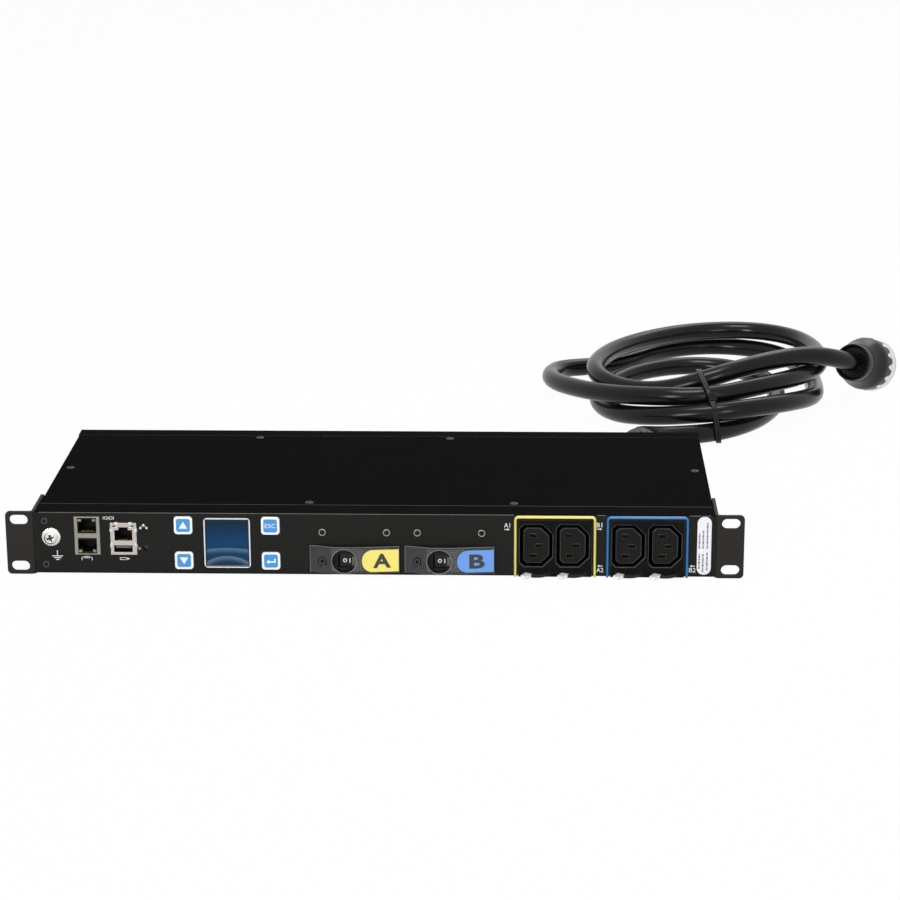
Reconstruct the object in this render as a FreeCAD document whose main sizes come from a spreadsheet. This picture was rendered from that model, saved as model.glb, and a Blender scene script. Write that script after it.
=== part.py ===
import FreeCAD, Part
import math
import os
import Sketcher

# Frame: origin at the centre of the four rack slots, y = 0 on the ears' rear (mating) face.
# x to the right seen from the front, y into the rack, z up; all sizes in millimetres.
V = FreeCAD.Vector
doc = FreeCAD.newDocument("rack_power_unit")
dims = doc.addObject("Spreadsheet::Sheet", "dims")


class Size:
    """A number together with the sheet expression that gives it."""

    def __init__(self, value, text):
        self.value = value
        self.text = text

    def __add__(self, other):
        other = as_size(other)
        return Size(self.value + other.value, f"({self.text} + {other.text})")

    def __sub__(self, other):
        other = as_size(other)
        return Size(self.value - other.value, f"({self.text} - {other.text})")

    def __mul__(self, other):
        other = as_size(other)
        return Size(self.value * other.value, f"({self.text} * {other.text})")

    def __truediv__(self, other):
        other = as_size(other)
        return Size(self.value / other.value, f"({self.text} / {other.text})")

    def __neg__(self):
        return Size(-self.value, f"(-1 * {self.text})")

    __radd__ = __add__
    __rmul__ = __mul__


def as_size(item):
    if isinstance(item, Size):
        return item
    return Size(float(item), f"({float(item):.6f})")


class Group:
    """Named sizes of one assembly, each an aliased cell of the sheet."""

    row = 0

    def __init__(self, **pairs):
        for name, number in pairs.items():
            Group.row += 1
            dims.set(f"A{Group.row}", name)
            dims.set(f"B{Group.row}", str(number))
            dims.setAlias(f"B{Group.row}", name)
            setattr(self, name, Size(float(number), f"dims.{name}"))


rack = Group(hole_pitch_x=465.1, hole_pitch_z=31.75, ear_span=482.6, ear_height=43.0, ear_gauge=2.0,
             slot_high=6.8, slot_long=12.0, ear_reach=38.0, ear_bend=3.5, ear_corner=3.0,
             ear_screw_front=9.0, ear_screw_back=29.0, ear_screw_rise=11.0)
hull = Group(body_width=444.5, body_depth=192.0, body_height=42.4, gauge=1.2, fold=1.6, face_y=-0.5,
             seam_front=17.5, seam_rear=14.5, lip=12.0, cover_drop=1.3, seam_gap=0.4, side_inset=1.3,
             side_flange=13.0, cover_foot=0.4, post_r=3.0, post_tall=10.7)
bolt = Group(small_r=1.5, small_clear=1.6, small_head_r=2.75, ground_r=2.4, ground_head_r=4.5,
             washer_r=5.3, tooth_r=6.5, washer_gauge=0.9)
jack = Group(serial_left=-196.3, serial_right=-179.7, serial_low=-8.0, serial_high=18.0,
             lan_left=-172.7, lan_right=-155.5, lan_low=-8.0, lan_high=13.9, jack_proud=0.8,
             jack_deep=24.0, shield_gauge=0.4, port_wide=11.7, port_tall=6.7, notch_wide=6.2,
             notch_tall=1.9, port_deep=12.5, usb_wide=12.2, usb_tall=4.7, lamp_wide=2.3, lamp_tall=1.7,
             reset_x=-149.7, reset_z=-3.55, reset_hole_r=2.0, reset_r=1.4, board_gauge=1.6)
panel = Group(screen_x=-96.15, screen_z=0.4, screen_wide=30.4, screen_tall=34.2, screen_rim=1.4,
              key_size=12.1, key_gap=0.25, key_proud=1.0, key_left=-124.75, key_right=-67.6,
              key_up_z=12.45, key_down_z=-11.75, key_round=2.2, key_flange=1.1, key_face=9.2)
trip = Group(trip_a=-12.7, trip_b=49.45, trip_screw_span=42.05, trip_screw_z=8.2, trip_wide=52.0,
             trip_low=-20.0, trip_high=13.5, trip_deep=50.0, rocker_shift=-3.95, rocker_z=-11.35,
             rocker_wide=11.6, rocker_tall=8.4, rocker_pivot=4.0, rocker_tilt=-9.0, pin_r=1.2,
             guard_wide=58.5, guard_low=-19.0, guard_tall=18.5, guard_proud=5.6, guard_end=2.0,
             guard_wall=1.6, eye_shift=-6.6, eye_z=-10.1, eye_r=8.0, guard_screw_shift=-21.2,
             guard_screw_z=-11.2)
out = Group(out_a=118.35, out_b=178.5, out_pitch=23.8, block_wide=48.0, block_high=17.6,
            block_low=-20.0, block_foot=-21.4, block_deep=26.0, block_proud=1.0, foot_deep=15.0,
            well_wide=22.0, well_tall=29.4, well_deep=20.0, well_chamfer=6.8, well_corner=2.8,
            core_wide=16.1, core_tall=23.6, core_chamfer=5.3, core_corner=2.2, core_back=0.5,
            slit_wide=4.8, slit_tall=2.6, slit_in=-2.0, slit_earth=1.9, slit_rise=6.9,
            frame_wide=53.6, frame_high=20.3, frame_band=2.65, frame_proud=2.0, frame_low=-21.4,
            flange_lap=1.6, flange_gauge=1.8)
grip = Group(grip_pivot=4.0, grip_r=9.5, grip_pin_r=1.4, grip_low=-20.6, grip_gauge=2.1,
             grip_slot_low=-20.8, grip_slot_tall=2.5, tab_turn=36.0, tab_reach=14.6, tab_root=5.6,
             tab_tip=3.8)
duct = Group(gland_x=181.5, gland_z=3.0, gland_flat=30.0, gland_hex=7.0, stub_r=10.0, stub_long=11.0,
             dome_r=15.5, dome_tip_r=11.5, dome_start=199.0, dome_end=222.0, thread_r=11.4)
cord = Group(cord_r=7.25, coil_left=110.0, coil_right=340.0, coil_front=288.0, coil_back=570.0,
             coil_high=40.0, coil_band=55.0, hump_left=198.0, hump_right=284.0, hump_high=56.0,
             tie_x=236.0, tie_wide=4.8, tie_gauge=1.4)
plug = Group(plug_x=358.2, plug_y=417.0, plug_rise=34.5, plug_to_x=0.460, plug_to_y=0.848,
             plug_to_z=-0.265, collar_r=15.0, collar_long=10.0, cup_wall=1.6, cup_deep=5.0,
             shell_r=21.0, shell_root_r=15.6, shell_end=31.0, sleeve_r=19.2, sleeve_long=6.0,
             notch_half=2.6, notch_long=4.2, rib_r=1.7, face_r=22.0, face_end=44.0, blade_r=12.7,
             blade_gauge=1.6, blade_long=17.0, blade_turn=157.0)

floor_z = -rack.ear_height / 2
roof_z = floor_z + hull.body_height
face = hull.face_y
rear = face + hull.body_depth
half = hull.body_width / 2
inside = face + hull.gauge

exports = {}


def node(name, made):
    made.Label = name
    exports[name] = made
    return made


def bind(made, prop, size):
    made.setExpression(prop, as_size(size).text)


def box(name, x0, x1, y0, y1, z0, z1):
    made = doc.addObject("Part::Box", name)
    for prop, size in zip(("Placement.Base.x", "Placement.Base.y", "Placement.Base.z"), (x0, y0, z0)):
        bind(made, prop, size)
    for prop, low, high in (("Length", x0, x1), ("Width", y0, y1), ("Height", z0, z1)):
        bind(made, prop, as_size(high) - low)
    return made


TURN = {"x": (V(0, 1, 0), 90), "y": (V(1, 0, 0), -90), "z": (V(0, 0, 1), 0)}


def rod(name, x, y, z, radius, length, axis):
    made = doc.addObject("Part::Cylinder", name)
    made.Placement = FreeCAD.Placement(V(0, 0, 0), FreeCAD.Rotation(*TURN[axis]))
    for prop, size in zip(("Placement.Base.x", "Placement.Base.y", "Placement.Base.z"), (x, y, z)):
        bind(made, prop, size)
    bind(made, "Radius", radius)
    bind(made, "Height", length)
    return made


def fuse(name, pieces):
    made = doc.addObject("Part::MultiFuse", name)
    made.Shapes = pieces
    return made


def cut(name, base, tools):
    made = doc.addObject("Part::Cut", name)
    made.Base = base
    made.Tool = tools[0] if len(tools) == 1 else fuse(name + "_tools", tools)
    return made


def gather(name, pieces):
    made = doc.addObject("Part::Compound", name)
    made.Links = pieces
    return made


def body(name):
    return doc.addObject("PartDesign::Body", name)


def sketch(host, plane, at):
    made = host.newObject("Sketcher::SketchObject", host.Name + "_sketch")
    base = next(item for item in host.Origin.OriginFeatures if item.Role == plane + "_Plane")
    made.AttachmentSupport = [(base, "")]
    made.MapMode = "FlatFace"
    lift = as_size(at)
    bind(made, "AttachmentOffset.Base.z", -lift if plane == "XZ" else lift)
    return made


def outline(made, corners):
    first = made.GeometryCount
    places = [(as_size(a), as_size(b)) for a, b in corners]
    count = len(places)
    lines = []
    for i in range(count):
        a, b = places[i], places[(i + 1) % count]
        lines.append(Part.LineSegment(V(a[0].value, a[1].value, 0), V(b[0].value, b[1].value, 0)))
    made.addGeometry(lines, False)
    joints = []
    for i in range(count):
        joints.append(Sketcher.Constraint("Coincident", first + i, 2, first + (i + 1) % count, 1))
    made.addConstraint(joints)
    for i, place in enumerate(places):
        for kind, size in zip(("DistanceX", "DistanceY"), place):
            index = made.addConstraint(Sketcher.Constraint(kind, -1, 1, first + i, 1, size.value))
            made.setExpression(f"Constraints[{index}]", size.text)


def block(made, a0, a1, b0, b1):
    outline(made, [(a0, b0), (a1, b0), (a1, b1), (a0, b1)])


def disc(made, a, b, radius):
    a, b, radius = as_size(a), as_size(b), as_size(radius)
    first = made.addGeometry(Part.Circle(V(a.value, b.value, 0), V(0, 0, 1), radius.value), False)
    for kind, size in (("DistanceX", a), ("DistanceY", b)):
        index = made.addConstraint(Sketcher.Constraint(kind, -1, 1, first, 3, size.value))
        made.setExpression(f"Constraints[{index}]", size.text)
    index = made.addConstraint(Sketcher.Constraint("Radius", first, radius.value))
    made.setExpression(f"Constraints[{index}]", radius.text)


def pad(host, made, length, flip=False):
    step = host.newObject("PartDesign::Pad", host.Name + "_pad")
    step.Profile = made
    step.Reversed = flip
    bind(step, "Length", length)
    doc.recompute()
    return step


def pocket(host, made, depth, flip=False):
    before = host.Tip.Shape.Volume
    step = host.newObject("PartDesign::Pocket", host.Name + "_pocket")
    step.Profile = made
    step.Reversed = flip
    bind(step, "Length", depth)
    doc.recompute()
    if not step.Shape.Volume < before - 0.01:
        raise RuntimeError(host.Name + ": a pocket cuts nothing")
    return step


def spin(host, made):
    step = host.newObject("PartDesign::Revolution", host.Name + "_turned")
    step.Profile = made
    step.ReferenceAxis = (made, ["V_Axis"])
    step.Angle = 360
    doc.recompute()
    return step


def along(axis, **at):
    def test(edge):
        span = edge.BoundBox
        sides = {"x": (span.XMin, span.XMax), "y": (span.YMin, span.YMax), "z": (span.ZMin, span.ZMax)}
        if sides[axis][1] - sides[axis][0] < 0.05:
            return False
        for name, (low, high) in sides.items():
            if name != axis and high - low > 0.02:
                return False
        return all(abs(sum(sides[n]) / 2 - as_size(v).value) < 0.03 for n, v in at.items())
    return test


def level(axis, at):
    def test(edge):
        span = edge.BoundBox
        low, high = {"x": (span.XMin, span.XMax), "y": (span.YMin, span.YMax), "z": (span.ZMin, span.ZMax)}[axis]
        return abs(low - as_size(at).value) < 0.02 and abs(high - as_size(at).value) < 0.02
    return test


def soften(host, radius, tests, kind="PartDesign::Fillet"):
    doc.recompute()
    base = host.Tip
    names = []
    for i, edge in enumerate(base.Shape.Edges):
        if any(test(edge) for test in tests):
            names.append(f"Edge{i + 1}")
    if not names:
        raise RuntimeError(host.Name + ": no edge to soften")
    step = host.newObject(kind, host.Name + "_soft")
    step.Base = (base, names)
    bind(step, "Radius" if kind.endswith("Fillet") else "Size", radius)
    doc.recompute()
    return step


# Chassis: one folded sheet with front and rear walls, lips under the cover, and side walls
chassis = body("chassis")
lip_z = roof_z - hull.cover_drop
front_seam = face + hull.seam_front
rear_seam = rear - hull.seam_rear
gauge = hull.gauge
made = sketch(chassis, "YZ", -half)
outline(made, [(face, floor_z), (rear, floor_z), (rear, roof_z), (rear_seam, roof_z), (rear_seam, lip_z),
               (rear_seam - hull.lip, lip_z), (rear_seam - hull.lip, lip_z - gauge),
               (rear_seam + gauge, lip_z - gauge), (rear_seam + gauge, roof_z - gauge),
               (rear - gauge, roof_z - gauge), (rear - gauge, floor_z + gauge),
               (inside, floor_z + gauge), (inside, roof_z - gauge), (front_seam - gauge, roof_z - gauge),
               (front_seam - gauge, lip_z - gauge), (front_seam + hull.lip, lip_z - gauge),
               (front_seam + hull.lip, lip_z), (front_seam, lip_z), (front_seam, roof_z), (face, roof_z)])
pad(chassis, made, hull.body_width)
soften(chassis, hull.fold, [along("x", y=face, z=floor_z), along("x", y=rear, z=floor_z),
                            along("x", y=rear, z=roof_z), along("x", y=face, z=roof_z)])
made = sketch(chassis, "XZ", rear - gauge)
wall = half - hull.side_inset
for side in (-1, 1):
    outline(made, [(wall * side, floor_z + gauge), (wall * side, lip_z),
                   ((wall - hull.side_flange) * side, lip_z), ((wall - hull.side_flange) * side, lip_z - gauge),
                   ((wall - gauge) * side, lip_z - gauge), ((wall - gauge) * side, floor_z + gauge)])
pad(chassis, made, hull.body_depth - gauge * 2)
made = sketch(chassis, "XY", floor_z + gauge)
for side in (-1, 1):
    block(made, half * side, (half - gauge) * side, inside, front_seam)
    block(made, half * side, (half - gauge) * side, rear_seam, rear - gauge)
pad(chassis, made, hull.body_height - gauge * 2)
posts = [(-214, 40), (-146, 40), (-214, 84), (-146, 84), (-14, 100), (124, 100), (-14, 158), (124, 158)]
made = sketch(chassis, "XY", floor_z + gauge)
for x, y in posts:
    disc(made, x, y, hull.post_r)
pad(chassis, made, hull.post_tall)
made = sketch(chassis, "XY", roof_z + 0.5)
for side in (-1, 1):
    block(made, wall * side, (half + 1) * side, front_seam, rear_seam)
pocket(chassis, made, hull.body_height + 1)

# Panel openings: jacks, screen, keys, rockers, outlets and screws
made = sketch(chassis, "XZ", face - 0.5)
block(made, jack.serial_left - 0.25, jack.serial_right + 0.25, jack.serial_low - 0.25, jack.serial_high + 0.25)
block(made, jack.lan_left - 0.7, jack.lan_right + 0.7, jack.lan_low - 0.25, jack.lan_high + 0.7)
disc(made, jack.reset_x, jack.reset_z, jack.reset_hole_r)
screen_in = panel.screen_wide / 2 - 0.7
screen_up = panel.screen_tall / 2 - 0.7
block(made, panel.screen_x - screen_in, panel.screen_x + screen_in,
      panel.screen_z - screen_up, panel.screen_z + screen_up)
key_hole = panel.key_size / 2 + panel.key_gap
keys = {"key_up": (panel.key_left, panel.key_up_z), "key_down": (panel.key_left, panel.key_down_z),
        "key_escape": (panel.key_right, panel.key_up_z), "key_enter": (panel.key_right, panel.key_down_z)}
for x, z in keys.values():
    block(made, x - key_hole, x + key_hole, z - key_hole, z + key_hole)
nose_x = trip.rocker_wide / 2 + 1.6
nose_z = trip.rocker_tall / 2 + 1.6
for centre in (trip.trip_a, trip.trip_b):
    x = centre + trip.rocker_shift
    block(made, x - nose_x - 0.2, x + nose_x + 0.2, trip.rocker_z - nose_z - 0.2, trip.rocker_z + nose_z + 0.2)
    for side in (-0.5, 0.5):
        disc(made, centre + trip.trip_screw_span * side, trip.trip_screw_z, bolt.small_clear)
    disc(made, centre + trip.guard_screw_shift, trip.guard_screw_z, bolt.small_clear)
for centre in (out.out_a, out.out_b):
    block(made, centre - out.block_wide / 2 - 0.1, centre + out.block_wide / 2 + 0.1,
          floor_z - 1, out.block_high + 0.1)
panel_spots = [(-215.8, 14.9), (-215.8, -14.9)]
for x, z in panel_spots:
    disc(made, x, z, bolt.small_clear)
ground = (-211.8, 3.9)
disc(made, ground[0], ground[1], bolt.ground_r + 0.1)
pocket(chassis, made, gauge + 0.7)
made = sketch(chassis, "XY", floor_z + gauge + 0.3)
for centre in (out.out_a, out.out_b):
    block(made, centre - out.block_wide / 2 - 0.1, centre + out.block_wide / 2 + 0.1,
          face - 1, face + out.foot_deep + 0.2)
pocket(chassis, made, gauge + 1)
made = sketch(chassis, "XZ", rear - gauge - 0.5)
disc(made, duct.gland_x, duct.gland_z, duct.stub_r + 0.15)
pocket(chassis, made, gauge + 1)
cover_spots = [(-43.7, 21.5), (91.3, 21.5), (-91.0, 170.5), (44.7, 170.5), (-214.5, 96.0), (214.5, 96.0)]
made = sketch(chassis, "XY", roof_z + 0.5)
for x, y in cover_spots:
    disc(made, x, y, bolt.small_clear)
pocket(chassis, made, 4.5)
side_spots = [(y, rack.ear_screw_rise * s) for y in (rack.ear_screw_front, rack.ear_screw_back) for s in (-1, 1)]
made = sketch(chassis, "YZ", -half - 1)
for y, z in side_spots:
    disc(made, y, z, bolt.small_clear)
pocket(chassis, made, hull.body_width + 2, True)
node("chassis", chassis)

# Top cover: a sheet with both sides folded down over the chassis
cover = body("top_cover")
foot_z = floor_z + hull.cover_foot
cover_rear = rear_seam - hull.seam_gap
made = sketch(cover, "XZ", cover_rear)
outline(made, [(-half, foot_z), (-half, roof_z), (half, roof_z), (half, foot_z), (half - gauge, foot_z),
               (half - gauge, roof_z - gauge), (-half + gauge, roof_z - gauge), (-half + gauge, foot_z)])
pad(cover, made, cover_rear - front_seam - hull.seam_gap)
soften(cover, hull.fold, [along("y", x=-half, z=roof_z), along("y", x=half, z=roof_z)])
made = sketch(cover, "XY", roof_z + 0.5)
for x, y in cover_spots:
    disc(made, x, y, bolt.small_clear)
pocket(cover, made, 2.5)
made = sketch(cover, "YZ", -half - 1)
for y, z in side_spots[2:]:
    disc(made, y, z, bolt.small_clear)
pocket(cover, made, hull.body_width + 2, True)
node("top_cover", cover)

# Rack ears: folded angle brackets with two obround slots each, screwed to the sides
for name, side in (("left_ear", -1), ("right_ear", 1)):
    ear = body(name)
    g = rack.ear_gauge
    inner, outer, tip = half * side, (half + g) * side, rack.ear_span / 2 * side
    made = sketch(ear, "XY", floor_z)
    outline(made, [(inner, -g), (tip, -g), (tip, 0), (outer, 0), (outer, rack.ear_reach), (inner, rack.ear_reach)])
    pad(ear, made, rack.ear_height)
    soften(ear, rack.ear_bend, [along("z", x=inner, y=-g)])
    soften(ear, rack.ear_bend - g, [along("z", x=outer, y=0)])
    ends = [along("y", x=tip, z=floor_z), along("y", x=tip, z=-floor_z),
            along("x", y=rack.ear_reach, z=floor_z), along("x", y=rack.ear_reach, z=-floor_z)]
    soften(ear, rack.ear_corner, ends)
    made = sketch(ear, "XZ", -g - 1)
    x = rack.hole_pitch_x / 2 * side
    slot_edges = []
    for up in (-0.5, 0.5):
        z = rack.hole_pitch_z * up
        block(made, x - rack.slot_long / 2, x + rack.slot_long / 2, z - rack.slot_high / 2, z + rack.slot_high / 2)
        for across in (-0.5, 0.5):
            for rise in (-0.5, 0.5):
                slot_edges.append(along("y", x=x + rack.slot_long * across, z=z + rack.slot_high * rise))
    pocket(ear, made, g + 2)
    soften(ear, rack.slot_high / 2 - 0.01, slot_edges)
    made = sketch(ear, "YZ", outer + side)
    for y, z in side_spots:
        disc(made, y, z, bolt.small_clear)
    pocket(ear, made, g + 2, side < 0)
    soften(ear, 1.1, [lambda e, o=outer: level("x", o)(e) and len(e.Vertexes) == 1], "PartDesign::Chamfer")
    node(name, ear)


def screw_shape(name, shank, head_r, head_h, length, sunk):
    """One screw along z, its head's top or its seat at z = 0."""
    made_body = body(name)
    made = sketch(made_body, "XZ", 0)
    if sunk:
        outline(made, [(0, 0), (head_r, 0), (shank, -as_size(head_h)), (shank, -as_size(length)), (0, -as_size(length))])
    else:
        outline(made, [(0, head_h), (as_size(head_r) * 0.72, head_h), (head_r, as_size(head_h) * 0.55), (head_r, 0),
                       (shank, 0), (shank, -as_size(length)), (0, -as_size(length))])
    spin(made_body, made)
    arm, thin = as_size(head_r) * 0.55, as_size(head_r) * 0.13
    made = sketch(made_body, "XY", 0.5 if sunk else as_size(head_h) + 0.5)
    outline(made, [(-arm, -thin), (-thin, -thin), (-thin, -arm), (thin, -arm), (thin, -thin), (arm, -thin),
                   (arm, thin), (thin, thin), (thin, arm), (-thin, arm), (-thin, thin), (-arm, thin)])
    pocket(made_body, made, 1.4)
    return made_body


def copies(name, source, spots):
    """Copies of one screw at the given places, turned to face the given way."""
    shapes = []
    for place, axis, angle in spots:
        shape = source.Shape.copy()
        shape.Placement = FreeCAD.Placement(place, FreeCAD.Rotation(axis, angle))
        shapes.append(shape)
    made = doc.addObject("Part::Feature", name)
    made.Shape = Part.makeCompound(shapes)
    return node(name, made)


OUT = (V(1, 0, 0), 90)
pan = screw_shape("pan_screw", bolt.small_r, bolt.small_head_r, 1.7, 7.0, False)
sunk = screw_shape("sunk_screw", bolt.small_r, 2.7, 1.2, 6.0, True)
low = screw_shape("low_screw", bolt.small_r, bolt.small_head_r, 0.9, 5.5, False)
spots = [(V(x, y, roof_z.value), V(0, 0, 1), 0) for x, y in cover_spots]
copies("cover_screws", low, spots)
spots = []
for side in (-1, 1):
    for y, z in side_spots:
        place = V((half.value + rack.ear_gauge.value) * side, as_size(y).value, z.value)
        spots.append((place, V(0, 1, 0), 90 * side))
copies("ear_screws", sunk, spots)
spots = [(V(x, face.value, z), *OUT) for x, z in panel_spots]
for centre in (trip.trip_a, trip.trip_b):
    x = (centre + trip.guard_screw_shift).value
    spots.append((V(x, face.value - 1.4, trip.guard_screw_z.value), *OUT))
copies("panel_screws", low, spots)
spots = []
for centre in (trip.trip_a, trip.trip_b):
    for side in (-0.5, 0.5):
        x = (centre + trip.trip_screw_span * side).value
        spots.append((V(x, face.value, trip.trip_screw_z.value), *OUT))
copies("breaker_screws", pan, spots)

# Earthing screw with its toothed washer on the panel
earth = screw_shape("earth_master", bolt.ground_r, bolt.ground_head_r, 3.0, 9.0, False)
copies("ground_screw", earth, [(V(ground[0], face.value - bolt.washer_gauge.value, ground[1]), *OUT)])
washer = body("ground_washer")
made = sketch(washer, "XZ", face)
disc(made, ground[0], ground[1], bolt.washer_r)
disc(made, ground[0], ground[1], bolt.ground_r + 0.15)
pad(washer, made, bolt.washer_gauge)
made = sketch(washer, "XZ", face)
teeth = 14
for i in range(teeth):
    turn = 2 * math.pi * i / teeth
    corners = []
    for reach, swing in ((bolt.washer_r - 0.4, -0.13), (bolt.tooth_r, -0.1), (bolt.tooth_r, 0.1), (bolt.washer_r - 0.4, 0.13)):
        corners.append((reach * math.cos(turn + swing) + ground[0], reach * math.sin(turn + swing) + ground[1]))
    outline(made, corners)
pad(washer, made, bolt.washer_gauge)
node("ground_washer", washer)

# Stacked serial jacks: a metal shield round a moulded insert with two ports
proud = face - jack.jack_proud
back = face + jack.jack_deep
skin = jack.shield_gauge


def port_tools(name, x, low_z, high_z, up, y0, y1):
    """The mouth of one port with its latch notch above or below."""
    wide, notch = jack.port_wide / 2, jack.notch_wide / 2
    tools = [box(name + "_mouth", x - wide, x + wide, y0, y1, low_z, high_z)]
    if up:
        tools.append(box(name + "_notch", x - notch, x + notch, y0, y1, as_size(high_z) - 0.5, high_z + jack.notch_tall))
    else:
        tools.append(box(name + "_notch", x - notch, x + notch, y0, y1, low_z - jack.notch_tall, as_size(low_z) + 0.5))
    return tools


def lamp_tools(name, x, low_z, y0, y1):
    tools = []
    for side in (-1, 1):
        centre = as_size(x) + (jack.port_wide / 2 - jack.lamp_wide / 2) * side
        tools.append(box(name + "_lamp", centre - jack.lamp_wide / 2, centre + jack.lamp_wide / 2,
                         y0, y1, low_z, as_size(low_z) + jack.lamp_tall))
    return tools


serial_x = as_size(-188.0)
upper_low, lower_high = as_size(7.7), as_size(2.3)
upper_high, lower_low = upper_low + jack.port_tall, lower_high - jack.port_tall
ports = {"serial_top": (serial_x, upper_low, upper_high, True), "serial_bottom": (serial_x, lower_low, lower_high, False)}
shell = box("serial_can", jack.serial_left, jack.serial_right, proud, back, jack.serial_low, jack.serial_high)
tools = [box("serial_hollow", jack.serial_left + skin, jack.serial_right - skin, proud + skin, back + 1,
             jack.serial_low + skin, jack.serial_high - skin)]
for name, (x, a, b, up) in ports.items():
    tools += port_tools(name + "_window", x, a, b, up, proud - 1, proud + 1)
tools += lamp_tools("serial_top", serial_x, upper_high + 0.35, proud - 1, proud + 1)
tools += lamp_tools("serial_bottom", serial_x, lower_low - 0.35 - jack.lamp_tall, proud - 1, proud + 1)
node("serial_jack_shield", cut("serial_jack_shield", shell, tools))
insert = box("serial_insert", jack.serial_left + skin, jack.serial_right - skin, proud + skin, back,
             jack.serial_low + skin, jack.serial_high - skin)
tools = []
for name, (x, a, b, up) in ports.items():
    tools += port_tools(name + "_bay", x, a, b, up, proud - 1, proud + jack.port_deep)
node("serial_jack_body", cut("serial_jack_body", insert, tools))

# Network jack stacked on a host port, with spring tabs round the shield
lan_x = as_size(-164.15)
lan_low = as_size(1.7)
lan_high = lan_low + jack.port_tall + 0.6
usb_low = as_size(-6.25)
usb_x = as_size(-164.45)
shell = box("lan_can", jack.lan_left, jack.lan_right, proud, back, jack.lan_low, jack.lan_high)
tools = [box("lan_hollow", jack.lan_left + skin, jack.lan_right - skin, proud + skin, back + 1,
             jack.lan_low + skin, jack.lan_high - skin)]
tools += port_tools("lan_window", lan_x, lan_low, lan_high, True, proud - 1, proud + 1)
tools += lamp_tools("lan", lan_x, lan_high + 0.35, proud - 1, proud + 1)
tools.append(box("usb_window", usb_x - jack.usb_wide / 2, usb_x + jack.usb_wide / 2, proud - 1, proud + 1,
                 usb_low, usb_low + jack.usb_tall))
can = cut("lan_can_open", shell, tools)
springs = [can]
for z in (-3.2, 7.6):
    springs.append(box("spring_left", jack.lan_left - 0.45, jack.lan_left + 0.2, proud + 0.2, face + 0.6, z, z + 2.2))
    springs.append(box("spring_right", jack.lan_right - 0.2, jack.lan_right + 0.45, proud + 0.2, face + 0.6, z, z + 2.2))
for x in (-169.8, -160.6):
    springs.append(box("spring_top", x, x + 2.2, proud + 0.2, face + 0.6, jack.lan_high - 0.2, jack.lan_high + 0.45))
node("lan_jack_shield", fuse("lan_jack_shield", springs))
insert = box("lan_insert", jack.lan_left + skin, jack.lan_right - skin, proud + skin, back,
             jack.lan_low + skin, jack.lan_high - skin)
tools = port_tools("lan_bay", lan_x, lan_low, lan_high, True, proud - 1, proud + jack.port_deep)
tools.append(box("usb_bay", usb_x - jack.usb_wide / 2, usb_x + jack.usb_wide / 2, proud - 1, proud + jack.port_deep,
                 usb_low, usb_low + jack.usb_tall))
hollow = cut("lan_insert_open", insert, tools)
tongue = box("usb_tongue", usb_x - 5.2, usb_x + 5.2, proud + 1.5, proud + jack.port_deep + 0.5,
             usb_low + 2.3, usb_low + 3.9)
node("lan_jack_body", fuse("lan_jack_body", [hollow, tongue]))

# Contact springs lying on the port walls opposite the latches
strips = []
for x, z in ((serial_x, upper_low), (serial_x, lower_high - 0.35), (lan_x, lan_low)):
    for i in range(8):
        middle = x + (i - 3.5) * 1.02
        strips.append(box("contact_strip", middle - 0.2, middle + 0.2, proud + 2, proud + jack.port_deep, z, z + 0.35))
node("jack_contacts", gather("jack_contacts", strips))

# Communication board behind the jacks, with the reset switch soldered to it
board_top = jack.lan_low
board_low = board_top - jack.board_gauge
pieces = [box("comms_sheet", -218, -141.5, face + 2.2, 88, board_low, board_top)]
pieces.append(box("reset_case", jack.reset_x - 3.2, jack.reset_x + 3.2, face + 5, face + 9, board_top - 0.2, -0.4))
pieces.append(box("comms_chip_large", -196, -178, 40, 58, board_top - 0.2, board_top + 1.6))
pieces.append(box("comms_chip_small", -168, -158, 46, 56, board_top - 0.2, board_top + 1.4))
pieces.append(box("comms_header", -205, -165, 76, 82, board_top - 0.2, board_top + 8))
bored = cut("comms_board", fuse("comms_parts", pieces),
            [rod("reset_bore", jack.reset_x, face + 4.5, jack.reset_z, jack.reset_r + 0.25, 2.6, "y")])
node("comms_board", bored)
node("reset_plunger", rod("reset_plunger", jack.reset_x, face + 1.9, jack.reset_z, jack.reset_r, 4.4, "y"))

# Screen: raised rim on the panel, clear window inside it, module and board behind
bezel = body("display_bezel")
rim_x, rim_z = panel.screen_wide / 2, panel.screen_tall / 2
made = sketch(bezel, "XZ", face)
block(made, panel.screen_x - rim_x, panel.screen_x + rim_x, panel.screen_z - rim_z, panel.screen_z + rim_z)
pad(bezel, made, 0.6)
soften(bezel, 2.4, [along("y")])
neck = 0.9
made = sketch(bezel, "XZ", face + 2.6)
block(made, panel.screen_x - rim_x + neck, panel.screen_x + rim_x - neck,
      panel.screen_z - rim_z + neck, panel.screen_z + rim_z - neck)
pad(bezel, made, 2.8)
made = sketch(bezel, "XZ", face - 1)
open_x, open_z = rim_x - panel.screen_rim, rim_z - panel.screen_rim
block(made, panel.screen_x - open_x, panel.screen_x + open_x, panel.screen_z - open_z, panel.screen_z + open_z)
pocket(bezel, made, 4)
node("display_bezel", bezel)
window = box("display_window", panel.screen_x - open_x + 0.05, panel.screen_x + open_x - 0.05, face + 0.2, face + 2.8,
             panel.screen_z - open_z + 0.05, panel.screen_z + open_z - 0.05)
node("display_window", window)
board_y = face + 10
pieces = [box("display_sheet", -137, -55.5, board_y, board_y + 1.6, -18.6, 17.8)]
pieces.append(box("display_module", panel.screen_x - 16, panel.screen_x + 16, face + 2.8, board_y + 0.2, -17.6, 17.4))
for x, z in keys.values():
    pieces.append(box("switch_case", x - 3, x + 3, face + 6.2, board_y + 0.2, z - 3, z + 3))
    pieces.append(rod("switch_nub", x, face + 5.4, z, 1.6, 1.0, "y"))
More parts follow.
